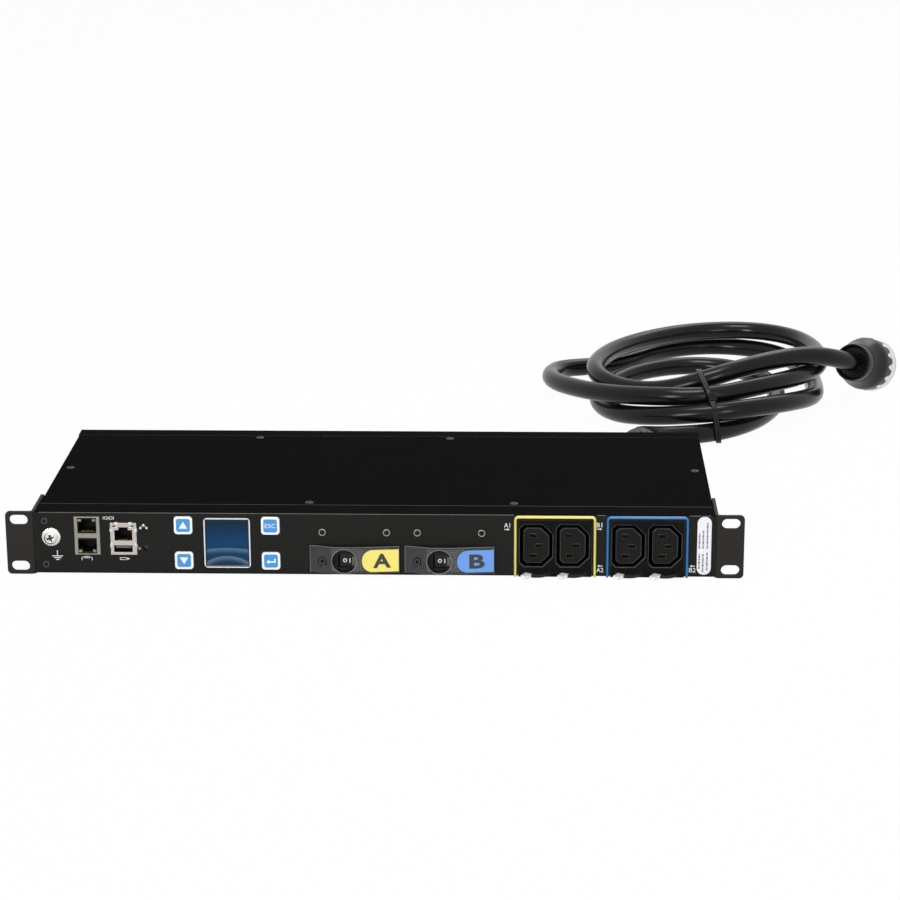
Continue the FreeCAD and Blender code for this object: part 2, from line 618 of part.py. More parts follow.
for x in (-134.2, -58.2):
    pieces.append(rod("board_pillar", x, inside, panel.screen_z, 2.2, board_y - inside + 0.2, "y"))
node("display_board", fuse("display_board", pieces))

# Keys: rounded caps through the panel, held by a flange behind it
for name, (x, z) in keys.items():
    cap = body(name)
    made = sketch(cap, "XZ", inside + 0.25)
    r = panel.key_size / 2
    block(made, x - r, x + r, z - r, z + r)
    pad(cap, made, inside + 0.25 - face + panel.key_proud)
    soften(cap, panel.key_round, [along("y")])
    soften(cap, 0.4, [level("y", face - panel.key_proud)])
    made = sketch(cap, "XZ", inside + 1.25)
    r = r + panel.key_flange
    block(made, x - r, x + r, z - r, z + r)
    pad(cap, made, 1.0)
    made = sketch(cap, "XZ", face + 4.7)
    disc(made, x, z, 2.0)
    pad(cap, made, 2.5)
    made = sketch(cap, "XZ", face - panel.key_proud - 0.3)
    r = panel.key_face / 2
    block(made, x - r, x + r, z - r, z + r)
    pocket(cap, made, 0.5)
    node(name, cap)

# Circuit breakers with a rocker each, behind a humped clear guard
for name, centre in (("a", trip.trip_a), ("b", trip.trip_b)):
    x, z = centre + trip.rocker_shift, trip.rocker_z
    pivot_y = face + trip.rocker_pivot
    case = box("case_" + name, centre - trip.trip_wide / 2, centre + trip.trip_wide / 2, inside, inside + trip.trip_deep,
               trip.trip_low, trip.trip_high)
    nose = box("nose_" + name, x - nose_x, x + nose_x, face - 0.6, inside + 1, z - nose_z, z + nose_z)
    lug_y = inside + trip.trip_deep
    lugs = [box("lug_" + name, centre + dx - 5, centre + dx + 5, lug_y - 1, lug_y + 6, dz - 4, dz + 4)
            for dx in (-17, 17) for dz in (-11, 4)]
    bay = box("bay_" + name, x - trip.rocker_wide / 2 - 0.95, x + trip.rocker_wide / 2 + 0.95, face - 1, face + 10.5,
              z - trip.rocker_tall / 2 - 0.3, z + trip.rocker_tall / 2 + 0.3)
    seat = rod("seat_" + name, x, pivot_y, z - trip.rocker_tall / 2 - 1.5, trip.pin_r + 0.1, trip.rocker_tall + 3, "z")
    tools = [bay, seat]
    for side in (-0.5, 0.5):
        tools.append(rod("thread_" + name, centre + trip.trip_screw_span * side, inside - 1, trip.trip_screw_z,
                         bolt.small_clear, 8, "y"))
    tools.append(rod("thread_" + name, centre + trip.guard_screw_shift, inside - 1, trip.guard_screw_z,
                     bolt.small_clear, 8, "y"))
    node("breaker_" + name, cut("breaker_" + name, fuse("solid_" + name, [case, nose] + lugs), tools))

    rocker = body("breaker_rocker_" + name)
    wide = trip.rocker_wide / 2
    made = sketch(rocker, "XY", -trip.rocker_tall / 2)
    outline(made, [(-wide, -4.6), (0, -3.4), (wide, -4.6), (wide - 2.2, 2.4), (-wide + 2.2, 2.4)])
    pad(rocker, made, trip.rocker_tall)
    soften(rocker, 0.6, [along("z", x=-wide, y=-4.6), along("z", x=wide, y=-4.6)])
    made = sketch(rocker, "XY", -trip.rocker_tall / 2 - 1.2)
    disc(made, 0, 0, trip.pin_r)
    pad(rocker, made, trip.rocker_tall + 2.4)
    rocker.Placement = FreeCAD.Placement(V(0, 0, 0), FreeCAD.Rotation(V(0, 0, 1), trip.rocker_tilt.value))
    for prop, size in (("Placement.Base.x", x), ("Placement.Base.y", pivot_y), ("Placement.Base.z", z)):
        bind(rocker, prop, size)
    node("breaker_rocker_" + name, rocker)

    guard = body("breaker_guard_" + name)
    left, right = centre - trip.guard_wide / 2, centre + trip.guard_wide / 2
    crest = face - trip.guard_proud
    made = sketch(guard, "XY", trip.guard_low)
    outline(made, [(left, face), (left, face - 1.3), (left + 4, face - 1.6), (left + 17, crest), (left + 28, crest),
                   (right, face - trip.guard_end), (right, face)])
    pad(guard, made, trip.guard_tall)
    soften(guard, 6.0, [along("z", x=left + 17, y=crest), along("z", x=left + 4, y=face - 1.6)])
    made = sketch(guard, "XY", trip.guard_low + trip.guard_wall)
    outline(made, [(left + 14.5, face + 1), (left + 14.5, face - 2.2), (left + 18, crest + trip.guard_wall),
                   (left + 28, crest + trip.guard_wall), (right - 6, face - 1), (right - 6, face + 1)])
    pocket(guard, made, trip.guard_tall - trip.guard_wall * 2, True)
    made = sketch(guard, "XZ", crest - 2)
    disc(made, centre + trip.eye_shift, trip.eye_z, trip.eye_r)
    pocket(guard, made, trip.guard_proud + 3)
    made = sketch(guard, "XZ", crest - 2)
    disc(made, centre + trip.guard_screw_shift, trip.guard_screw_z, 3.6)
    pocket(guard, made, trip.guard_proud + 2 - 1.4)
    made = sketch(guard, "XZ", crest - 2)
    disc(made, centre + trip.guard_screw_shift, trip.guard_screw_z, bolt.small_clear)
    pocket(guard, made, trip.guard_proud + 3)
    node("breaker_guard_" + name, guard)


def socket_outline(made, x, wide, tall, chamfer, corner):
    """The outlet's outline, its long side upright and its chamfers on the right."""
    w, h = as_size(wide) / 2, as_size(tall) / 2
    outline(made, [(x - w, -h + corner), (x - w + corner, -h), (x + w - chamfer, -h), (x + w, -h + chamfer),
                   (x + w, h - chamfer), (x + w - chamfer, h), (x - w + corner, h), (x - w, h - corner)])


def slits(made, x, grow):
    for dx, dz in ((out.slit_in, out.slit_rise), (out.slit_earth, 0), (out.slit_in, -out.slit_rise)):
        block(made, x + dx - out.slit_wide / 2 - grow, x + dx + out.slit_wide / 2 + grow,
              as_size(dz) - out.slit_tall / 2 - grow, as_size(dz) + out.slit_tall / 2 + grow)


# Outlet blocks of two, each outlet with a core, contacts and a swinging grip lever
contacts, bars, lever_count = [], [], 0
for name, centre in (("a", out.out_a), ("b", out.out_b)):
    left, right = centre - out.block_wide / 2, centre + out.block_wide / 2
    outlets = [centre - out.out_pitch / 2 - 0.4, centre + out.out_pitch / 2 - 0.4]
    front, end = face - out.block_proud, face + out.block_deep
    housing = body("outlet_block_" + name)
    made = sketch(housing, "XZ", end)
    block(made, left, right, out.block_low, out.block_high)
    pad(housing, made, end - front)
    soften(housing, 2.0, [along("y", x=left, z=out.block_high), along("y", x=right, z=out.block_high)])
    made = sketch(housing, "XZ", face + out.foot_deep)
    block(made, left, right, out.block_foot, out.block_low)
    pad(housing, made, face + out.foot_deep - front)
    made = sketch(housing, "XZ", inside + out.flange_gauge)
    block(made, left - out.flange_lap, right + out.flange_lap, out.block_low, out.block_high + out.flange_lap)
    pad(housing, made, out.flange_gauge)
    made = sketch(housing, "XZ", front - 0.5)
    for x in outlets:
        socket_outline(made, x, out.well_wide, out.well_tall, out.well_chamfer, out.well_corner)
    pocket(housing, made, out.well_deep + 0.5)
    made = sketch(housing, "XZ", front + out.well_deep - 1)
    for x in outlets:
        slits(made, x, 0)
    pocket(housing, made, 12)
    made = sketch(housing, "XY", grip.grip_slot_low + grip.grip_slot_tall)
    for x in outlets:
        disc(made, x, face + grip.grip_pivot, grip.grip_r + 0.4)
        disc(made, x, face + grip.grip_pivot, grip.grip_pin_r)
    pocket(housing, made, grip.grip_slot_tall)
    node("outlet_block_" + name, housing)

    cores = body("outlet_cores_" + name)
    made = sketch(cores, "XZ", front + out.well_deep)
    for x in outlets:
        socket_outline(made, x, out.core_wide, out.core_tall, out.core_chamfer, out.core_corner)
    pad(cores, made, out.well_deep - out.core_back)
    made = sketch(cores, "XZ", front - 1)
    for x in outlets:
        slits(made, x, 0)
    pocket(cores, made, out.well_deep + 3)
    node("outlet_cores_" + name, cores)

    for x in outlets:
        for dx, dz in ((out.slit_in, out.slit_rise), (out.slit_earth, 0), (out.slit_in, -out.slit_rise)):
            base = as_size(dz) - out.slit_tall / 2
            contacts.append(box("outlet_contact", x + dx - 2, x + dx + 2, face + 6, face + 32, base, base + 0.5))
    for dz in (out.slit_rise, as_size(0), -out.slit_rise):
        base = dz - out.slit_tall / 2
        bars.append(box("bus_bar", centre - 20, centre + 20, end + 2.5, end + 6, base - 1.2, base))

    trim = body("outlet_frame_" + name)
    wide, band = out.frame_wide / 2, out.frame_band
    made = sketch(trim, "XZ", face)
    outline(made, [(centre - wide, out.frame_low), (centre - wide, out.frame_high), (centre + wide, out.frame_high),
                   (centre + wide, out.frame_low), (centre + wide - band, out.frame_low),
                   (centre + wide - band, out.frame_high - band), (centre - wide + band, out.frame_high - band),
                   (centre - wide + band, out.frame_low)])
    pad(trim, made, out.frame_proud)
    soften(trim, 3.0, [along("y", x=centre - wide, z=out.frame_high), along("y", x=centre + wide, z=out.frame_high)])
    soften(trim, 1.0, [level("y", face - out.frame_proud)])
    node("outlet_frame_" + name, trim)

    for x in outlets:
        lever_count += 1
        lever = body(f"grip_lever_{lever_count}")
        made = sketch(lever, "XY", grip.grip_low)
        disc(made, x, face + grip.grip_pivot, grip.grip_r)
        disc(made, x, face + grip.grip_pivot, grip.grip_pin_r + 0.3)
        pad(lever, made, grip.grip_gauge)
        turn = math.radians(grip.tab_turn.value)
        along_x, along_y = -math.sin(turn), -math.cos(turn)
        corners = []
        for reach, across in ((7.6, -0.5), (7.6, 0.5), (grip.tab_reach, 0.5), (grip.tab_reach, -0.5)):
            span = (grip.tab_root if reach == 7.6 else grip.tab_tip) * across
            corners.append((x + as_size(reach) * along_x + span * along_y,
                            face + grip.grip_pivot + as_size(reach) * along_y - span * along_x))
        made = sketch(lever, "XY", grip.grip_low - 1)
        outline(made, corners)
        pocket(lever, made, grip.grip_gauge + 2, True)
        node(f"grip_lever_{lever_count}", lever)
        tab = body(f"grip_tab_{lever_count}")
        made = sketch(tab, "XY", grip.grip_low)
        outline(made, corners)
        pad(tab, made, grip.grip_gauge)
        node(f"grip_tab_{lever_count}", tab)
node("outlet_contacts", gather("outlet_contacts", contacts))
node("bus_bars", gather("bus_bars", bars))

# Input terminals, metering board with its current sensors, and the wires between them
base_z = floor_z + gauge
terminal = box("terminal_solid", 155, 208, 128, 154, base_z, 12)
tools = []
lines = (165.5, 181.5, 197.5)
clamp_front, clamp_rear = 136.0, 146.0
for x in lines:
    tools.append(rod("terminal_mouth", x, 120, 3, 3.6, clamp_front - 120, "y"))
    tools.append(rod("terminal_mouth", x, clamp_rear, 3, 3.6, 20, "y"))
    tools.append(rod("terminal_screw", x, 141, 5, 3.2, 10, "z"))
node("terminal_block", cut("terminal_block", terminal, tools))
post_top = base_z + hull.post_tall
pieces = [box("meter_sheet", -22, 132, 92, 166, post_top, post_top + 1.6)]
pieces.append(box("meter_supply", -10, 28, 108, 140, post_top + 1, 14))
pieces.append(box("meter_chip", 44, 58, 140, 154, post_top + 1, post_top + 3.4))
for x in (70, 100):
    ring = doc.addObject("Part::Torus", "sensor_ring")
    ring.Placement = FreeCAD.Placement(V(x, 118, 0), FreeCAD.Rotation(V(0, 1, 0), 90))
    bind(ring, "Placement.Base.z", post_top + 12.4)
    ring.Radius1 = 8
    ring.Radius2 = 3.2
    pieces.append(ring)
    pieces.append(box("sensor_foot", x - 3, x + 3, 110, 126, post_top + 1, post_top + 4))
node("meter_board", fuse("meter_board", pieces))


def tube(name, points, radius):
    """A round tube along straight runs joined by tangent arcs, its radii printed."""
    edges, last = [], points[0]
    for i in range(1, len(points) - 1):
        a, b, c = points[i - 1], points[i], points[i + 1]
        into, away = (b - a).normalize(), (c - b).normalize()
        half_turn = into.getAngle(away) / 2
        bend = 0.45 * min((b - a).Length, (c - b).Length) / math.tan(half_turn)
        trim_by = bend * math.tan(half_turn)
        start, stop = b - into * trim_by, b + away * trim_by
        middle = (away - into).normalize()
        crest = b + middle * (bend / math.cos(half_turn) - bend)
        print(name, "bend radius", round(bend, 1), "turn", round(math.degrees(half_turn * 2)))
        edges.append(Part.LineSegment(last, start).toShape())
        edges.append(Part.Arc(start, crest, stop).toShape())
        last = stop
    edges.append(Part.LineSegment(last, points[-1]).toShape())
    path = Part.Wire(edges)
    profile = Part.Wire(Part.Circle(points[0], points[1] - points[0], radius).toShape())
    shape = path.makePipeShell([profile], True, False)
    expected = math.pi * radius * radius * path.Length
    print(name, "length", round(path.Length, 1), "volume ratio", round(shape.Volume / expected, 4))
    made = doc.addObject("Part::Feature", name)
    made.Shape = shape
    return made


wires = []
stub_y = (rear - duct.stub_long).value
lug_end = (inside + trip.trip_deep + 6).value
for x in lines:
    start = duct.gland_x.value + (x - duct.gland_x.value) * 0.35
    route = [V(start, stub_y, 3), V(start, 172, 3), V(x, 163, 3), V(x, clamp_rear, 3)]
    wires.append(tube("wire_in", route if x != start else [route[0], route[-1]], 2.4))
for x, to_x, run_y in ((165.5, -30, 84), (197.5, 32, 72)):
    route = [V(x, clamp_front, 3), V(x, run_y, 3), V(to_x, run_y, 9), V(to_x, lug_end, 4)]
    wires.append(tube("wire_out", route, 2.4))
node("inner_wires", gather("inner_wires", wires))

# Cable gland through the rear wall: hexagon, domed nut and inner locknut
duct_x, duct_z = duct.gland_x, duct.gland_z


def hexagon(made, flat):
    reach = as_size(flat) / 2 / math.cos(math.pi / 6)
    corners = []
    for i in range(6):
        turn = math.pi / 3 * i
        corners.append((duct_x + reach * math.cos(turn), duct_z + reach * math.sin(turn)))
    outline(made, corners)


gland = body("cable_gland")
made = sketch(gland, "XZ", rear + duct.gland_hex)
hexagon(made, duct.gland_flat)
pad(gland, made, duct.gland_hex)
made = sketch(gland, "XZ", rear + 1)
disc(made, duct_x, duct_z, duct.stub_r)
pad(gland, made, duct.stub_long + 1)
made = sketch(gland, "XZ", rear + duct.gland_hex + 9)
disc(made, duct_x, duct_z, duct.thread_r)
pad(gland, made, 10)
node("cable_gland", gland)
dome = body("gland_nut")
made = sketch(dome, "XY", 0)
deep = duct.dome_end - duct.dome_start
outline(made, [(duct.thread_r + 0.15, 0), (duct.dome_r, 0), (duct.dome_r, 10), (duct.dome_r - 1, 15),
               (duct.dome_tip_r, deep), (0, deep), (0, 12), (duct.thread_r + 0.15, 12)])
spin(dome, made)
for prop, size in (("Placement.Base.x", duct_x), ("Placement.Base.y", duct.dome_start), ("Placement.Base.z", duct_z)):
    bind(dome, prop, size)
node("gland_nut", dome)
locknut = body("gland_locknut")
made = sketch(locknut, "XZ", rear - gauge)
hexagon(made, 27)
disc(made, duct_x, duct_z, duct.stub_r + 0.15)
pad(locknut, made, 5)
node("gland_locknut", locknut)

# Supply cord: lead out of the gland, the tied coil's outer shape, tail to the plug
reach = V(plug.plug_to_x.value, plug.plug_to_y.value, plug.plug_to_z.value).normalize()
plug_at = V(plug.plug_x.value, plug.plug_y.value, floor_z.value + plug.plug_rise.value)
ground_z = floor_z.value
lead = [V(duct_x.value, duct.dome_end.value, duct_z.value), V(duct_x.value, 258, duct_z.value),
        V(198, 292, ground_z + 20.5), V(226, 316, ground_z + 13.5)]
node("cord_lead", tube("cord_lead", lead, cord.cord_r.value))
tail = [V(262, 330, ground_z + 44), plug_at - reach * 50, plug_at + reach * plug.cup_deep.value]
node("cord_tail", tube("cord_tail", tail, cord.cord_r.value))
coil = body("cord_coil")
left, right, front, end = cord.coil_left, cord.coil_right, cord.coil_front, cord.coil_back
band = cord.coil_band
made = sketch(coil, "XY", floor_z)
block(made, left, right, front, end)
pad(coil, made, cord.coil_high)
soften(coil, 98.0, [along("z")])
made = sketch(coil, "XY", floor_z + cord.coil_high + 1)
block(made, left + band, right - band, front + band, end - band)
pocket(coil, made, cord.coil_high + 2)
soften(coil, 46.0, [along("z", x=a, y=b) for a in (left + band, right - band) for b in (front + band, end - band)])
soften(coil, 12.0, [level("z", floor_z + cord.coil_high)])
made = sketch(coil, "XY", floor_z + 15)
block(made, cord.hump_left, cord.hump_right, front + 18, front + band)
pad(coil, made, cord.hump_high - 15)
soften(coil, 8.0, [along("y", x=cord.hump_left, z=floor_z + cord.hump_high),
                   along("y", x=cord.hump_right, z=floor_z + cord.hump_high)])
made = sketch(coil, "XY", floor_z)
block(made, cord.tie_x - cord.tie_wide / 2 - 0.1, cord.tie_x + cord.tie_wide / 2 + 0.1, front - 1, front + band + 1)
pocket(coil, made, cord.tie_gauge, True)
node("cord_coil", coil)
tie = body("cord_tie")
made = sketch(tie, "YZ", cord.tie_x - cord.tie_wide / 2)
thin = cord.tie_gauge
outline(made, [(front - thin, floor_z), (front + band + thin, floor_z), (front + band + thin, floor_z + cord.hump_high + thin),
               (front + 17 - thin, floor_z + cord.hump_high + thin), (front - thin, floor_z + cord.coil_high)])
outline(made, [(front, floor_z + thin), (front + band, floor_z + thin), (front + band, floor_z + cord.hump_high),
               (front + 17, floor_z + cord.hump_high), (front, floor_z + cord.coil_high)])
pad(tie, made, cord.tie_wide)
made = sketch(tie, "YZ", cord.tie_x - 4)
block(made, front - thin - 5, front - thin * 0.5, floor_z + 28, floor_z + 35)
pad(tie, made, 8)
node("cord_tie", tie)


def place_plug(made):
    made.Placement = FreeCAD.Placement(plug_at, FreeCAD.Rotation(V(0, 0, 1), reach))


def round_axis(host, step, count):
    """Repeats a feature evenly round its body's own Z axis."""
    ring = host.newObject("PartDesign::PolarPattern", host.Name + "_ring")
    ring.Originals = [step]
    ring.Axis = (next(item for item in host.Origin.OriginFeatures if item.Role == "Z_Axis"), [""])
    ring.Angle = 360
    ring.Occurrences = count
    host.Tip = ring
    doc.recompute()


# Plug: cupped collar round the cord, flared shell with a notched rim, ribbed body, three locking blades
TONGUES = 14
collar = body("plug_collar")
made = sketch(collar, "XZ", 0)
cup_in = plug.collar_r - plug.cup_wall
outline(made, [(0, plug.cup_deep), (cup_in, plug.cup_deep), (cup_in, 0), (plug.collar_r - 0.4, 0),
               (plug.collar_r, 0.8), (plug.collar_r, plug.collar_long), (0, plug.collar_long)])
spin(collar, made)
place_plug(collar)
node("plug_collar", collar)
back_shell = body("plug_shell")
made = sketch(back_shell, "XZ", 0)
seat_s = plug.shell_end - plug.sleeve_long
outline(made, [(0, plug.collar_long), (plug.shell_root_r, plug.collar_long), (plug.shell_root_r + 1.9, plug.collar_long + 5),
               (plug.shell_r - 2.2, plug.collar_long + 10), (plug.shell_r - 0.4, plug.collar_long + 14),
               (plug.shell_r, plug.collar_long + 17), (plug.shell_r, plug.shell_end),
               (plug.sleeve_r, plug.shell_end), (plug.sleeve_r, seat_s), (0, seat_s)])
spin(back_shell, made)
made = sketch(back_shell, "YZ", plug.shell_r + 1)
root_s = plug.shell_end - plug.notch_long
outline(made, [(-plug.notch_half, plug.shell_end + 1), (plug.notch_half, plug.shell_end + 1),
               (plug.notch_half, root_s + 2), (plug.notch_half - 1.2, root_s),
               (-plug.notch_half + 1.2, root_s), (-plug.notch_half, root_s + 2)])
round_axis(back_shell, pocket(back_shell, made, plug.shell_r - plug.sleeve_r + 1.4), TONGUES)
place_plug(back_shell)
node("plug_shell", back_shell)
plug_face = body("plug_face")
made = sketch(plug_face, "XZ", 0)
sleeve = plug.sleeve_r - 0.2
outline(made, [(0, seat_s), (sleeve, seat_s), (sleeve, plug.shell_end), (plug.face_r, plug.shell_end),
               (plug.face_r, plug.face_end - 2), (plug.face_r - 2, plug.face_end), (0, plug.face_end)])
spin(plug_face, made)
made = sketch(plug_face, "XY", root_s + 1.2)
disc(made, sleeve + 0.4, 0, plug.rib_r)
round_axis(plug_face, pad(plug_face, made, plug.notch_long), TONGUES)
place_plug(plug_face)
node("plug_face", plug_face)
blades = []
for i in range(3):
    turned = FreeCAD.Rotation(V(0, 0, 1), reach).multiply(FreeCAD.Rotation(V(0, 0, 1), plug.blade_turn.value + 120 * i))
    seat = plug_at + reach * plug.face_end.value
    outer = doc.addObject("Part::Cylinder", "blade_outer")
    inner = doc.addObject("Part::Cylinder", "blade_inner")
    bind(outer, "Radius", plug.blade_r)
    bind(inner, "Radius", plug.blade_r - plug.blade_gauge)
    bind(outer, "Height", plug.blade_long - i * 0.8)
    bind(inner, "Height", plug.blade_long + 2)
    outer.Angle = 46
    for piece in (outer, inner):
        piece.Placement = FreeCAD.Placement(seat, turned)
    blades.append(cut("blade", outer, [inner]))
node("plug_blades", gather("plug_blades", blades))

doc.recompute()
os.makedirs("parts", exist_ok=True)
for item in doc.Objects:
    if "Invalid" in item.State or "Error" in item.State:
        raise RuntimeError(f"{item.Label}: {item.State}")
for name, made in exports.items():
    if made.Shape.isNull() or not made.Shape.isValid():
        raise RuntimeError(name + ": bad shape")
    made.Shape.exportStep(f"parts/{name}.step")
    span = made.Shape.BoundBox
    print(f"{name:20s} solids {len(made.Shape.Solids):2d} volume {made.Shape.Volume:10.1f} "
          f"x {span.XMin:7.1f} {span.XMax:7.1f} y {span.YMin:6.1f} {span.YMax:6.1f} z {span.ZMin:6.1f} {span.ZMax:6.1f}")
print(len(exports), "nodes")
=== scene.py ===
import math

import bmesh
import bpy
from mathutils import Matrix, Vector


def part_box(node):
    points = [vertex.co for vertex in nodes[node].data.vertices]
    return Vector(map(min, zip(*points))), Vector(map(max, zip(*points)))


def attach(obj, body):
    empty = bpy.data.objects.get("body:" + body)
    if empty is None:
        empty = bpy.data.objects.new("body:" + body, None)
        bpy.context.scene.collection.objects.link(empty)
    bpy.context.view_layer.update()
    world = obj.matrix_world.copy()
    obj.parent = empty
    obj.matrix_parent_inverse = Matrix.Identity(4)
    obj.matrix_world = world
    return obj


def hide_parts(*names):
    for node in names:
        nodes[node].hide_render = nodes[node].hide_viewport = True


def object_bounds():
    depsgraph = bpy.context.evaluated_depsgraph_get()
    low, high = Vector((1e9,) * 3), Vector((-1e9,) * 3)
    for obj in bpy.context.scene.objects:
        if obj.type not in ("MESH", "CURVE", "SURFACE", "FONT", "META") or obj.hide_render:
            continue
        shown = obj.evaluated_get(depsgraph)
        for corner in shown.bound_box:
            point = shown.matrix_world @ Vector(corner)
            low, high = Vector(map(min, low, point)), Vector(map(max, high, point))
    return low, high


# Rack power unit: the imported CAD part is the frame, in metres, with y = 0 on the rack's face
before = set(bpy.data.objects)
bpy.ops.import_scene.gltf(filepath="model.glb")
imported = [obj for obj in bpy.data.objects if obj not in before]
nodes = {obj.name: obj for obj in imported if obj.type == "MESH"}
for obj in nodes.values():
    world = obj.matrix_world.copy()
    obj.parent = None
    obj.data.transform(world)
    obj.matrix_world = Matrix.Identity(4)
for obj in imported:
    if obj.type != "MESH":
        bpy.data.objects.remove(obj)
cad_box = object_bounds()
MM = 0.001

# Chassis and top cover
# Two folded steel sheets with a black powder coat: a fine orange peel and a little wear on the folds;
# upward faces and the cover are a darker black, painted shade of the less lit top. CAD's sheets, openings
# and seams are shown as they are.
EDGE_ROUND = 0.35
BROAD = 60


def srgb(*screen):
    """Linear colour and alpha from three screen values of 0 to 255."""
    linear = []
    for value in screen:
        share = value / 255
        linear.append(share / 12.92 if share <= 0.04045 else ((share + 0.055) / 1.055) ** 2.4)
    return (*linear, 1.0)


def feed(tree, node, inputs):
    """Gives each input of a node, by name or number, a constant or a link from a socket."""
    for key, given in inputs.items():
        if isinstance(given, bpy.types.NodeSocket):
            tree.links.new(given, node.inputs[key])
        else:
            node.inputs[key].default_value = given


def add(tree, kind, inputs, operation=None):
    """A new node in a tree, with its inputs fed."""
    made = tree.nodes.new(kind)
    if operation:
        made.operation = operation
    feed(tree, made, inputs)
    return made


def spread(tree, value, start, end, low=0.0, high=1.0):
    """A value's way from start to end, kept inside them and stretched from low to high."""
    made = add(tree, "ShaderNodeMapRange", {
        "Value": value, "From Min": start, "From Max": end, "To Min": low, "To Max": high})
    return made.outputs["Result"]


def noise(tree, place, scale, detail=2.0):
    """The level of a noise texture."""
    made = add(tree, "ShaderNodeTexNoise", {"Vector": place, "Scale": scale, "Detail": detail})
    return made.outputs["Fac"]


def new_finish(name):
    """A new material, its node tree and its Principled shader."""
    made = bpy.data.materials.new(name)
    made.use_nodes = True
    return made, made.node_tree, made.node_tree.nodes["Principled BSDF"]


def coat(name, colour, rough, grain, relief, drift=0.12, wear_and_glint=None, metal=0.0, gloss=0.5, vary=0.15):
    """A finish whose grain (mm) shows in colour, roughness and relief (mm), with edges blended to a wear
    colour that on the outlets is also a painted highlight.
    """
    made, tree, shader = new_finish(name)
    place = add(tree, "ShaderNodeTexCoord", {}).outputs["Object"]
    fine = noise(tree, place, 1 / (grain * MM), 3.0)
    broad = noise(tree, place, 1 / (grain * BROAD * MM), 4.0)
    tint = add(tree, "ShaderNodeValToRGB", {"Fac": fine})
    for stop, sign in zip(tint.color_ramp.elements, (-1, 1)):
        stop.position = 0.5 + 0.22 * sign
        stop.color = (*[part * (1 + drift * sign) for part in colour[:3]], 1.0)
    shine = spread(tree, broad, 0.3, 0.7, rough * (1 - vary), min(1.0, rough * (1 + vary)))
    rounded = add(tree, "ShaderNodeBevel", {"Radius": EDGE_ROUND * MM})
    rounded.samples = 4
    raised = add(tree, "ShaderNodeBump", {
        "Strength": 0.5, "Distance": relief * MM, "Height": fine, "Normal": rounded.outputs["Normal"]})
    shown = tint.outputs["Color"]
    # Edges blend towards the given colour: wear, and where that colour is bright on the outlets, a painted
    # highlight.
    if wear_and_glint:
        flat = add(tree, "ShaderNodeNewGeometry", {})
        facing = add(tree, "ShaderNodeVectorMath", {
            0: rounded.outputs["Normal"], 1: flat.outputs["Normal"]}, "DOT_PRODUCT")
        wear_glint_mask = spread(tree, facing.outputs["Value"], 0.99, 0.8)
        patchy = add(tree, "ShaderNodeMath", {0: wear_glint_mask, 1: broad}, "MULTIPLY")
        blend = add(tree, "ShaderNodeMixRGB", {
            "Fac": patchy.outputs["Value"], "Color1": shown, "Color2": wear_and_glint})
        shown = blend.outputs["Color"]
    feed(tree, shader, {
        "Base Color": shown, "Metallic": metal, "Roughness": shine, "Specular IOR Level": gloss,
        "Normal": raised.outputs["Normal"]})
    return made


def paint_shade_by_y(finish, output, start, end, shade_colour):
    """Blends a finish into a painted shade colour between two values of Y, of its place or its normal."""
    tree = finish.node_tree
    shader = tree.nodes["Principled BSDF"]
    where = add(tree, "ShaderNodeTexCoord", {})
    split = add(tree, "ShaderNodeSeparateXYZ", {"Vector": where.outputs[output]})
    share = spread(tree, split.outputs["Y"], start, end)
    before = shader.inputs["Base Color"].links[0].from_socket
    blend = add(tree, "ShaderNodeMixRGB", {"Fac": share, "Color1": before, "Color2": shade_colour})
    feed(tree, shader, {"Base Color": blend.outputs["Color"]})


def paint(finish, *names):
    """Gives CAD nodes a finish."""
    for name in names:
        slots = nodes[name].data.materials
        slots.clear()
        slots.append(finish)


panel_black = coat("panel_black", srgb(37, 37, 36), 0.7, 0.5, 0.03, wear_and_glint=srgb(150, 150, 146),
                   gloss=0.005, vary=0.04)
# Upward faces of the chassis blend to a darker black: painted shade, the top lit less than the front.
paint_shade_by_y(panel_black, "Normal", -0.85, -0.6, srgb(13, 13, 13))
# The cover is a darker black than the panel in the same coat: painted shade of the top.
cover_shaded_black = coat("cover_shaded_black", srgb(12, 12, 12), 0.7, 0.5, 0.03, wear_and_glint=srgb(60, 60, 60),
                   gloss=0.004, vary=0.03)
paint(panel_black, "chassis")
paint(cover_shaded_black, "top_cover")
front_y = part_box("chassis")[0].y
roof_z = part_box("chassis")[1].z

# Rack ears
# Folded angle brackets in 2 mm steel with a coarser, slightly brown-grey coat.
ear_grey = coat("ear_grey", srgb(40, 39, 37), 0.6, 0.7, 0.05, wear_and_glint=srgb(130, 128, 124), gloss=0.1, vary=0.06)
paint(ear_grey, "left_ear", "right_ear")

# Screws
# Black screws hold cover, ears, panel and guards, those in front with a painted highlight ring and a
# six-lobe drive;
# bright six-lobe screws hold the breakers. The drives are near-black, as painted shade in their recesses.
# Fronts are turned and set on their holes by nodes.


def lathe(bm, profile, steps, place, shift=None):
    """Turns a profile of (radius, height) round the third local axis; shift moves points by angle."""
    rings = []
    for i in range(steps):
        turn = 2 * math.pi * i / steps
        ring = []
        for k, (radius, height) in enumerate(profile):
            more_r, more_h = shift(k, turn) if shift else (0, 0)
            reach = radius + more_r
            spot = (reach * math.cos(turn), reach * math.sin(turn), height + more_h)
            ring.append(bm.verts.new(place @ Vector(spot)))
        rings.append(ring)
    for i in range(steps):
        this, after = rings[i], rings[(i + 1) % steps]
        for k in range(len(profile) - 1):
            bm.faces.new((this[k], after[k], after[k + 1], this[k + 1]))


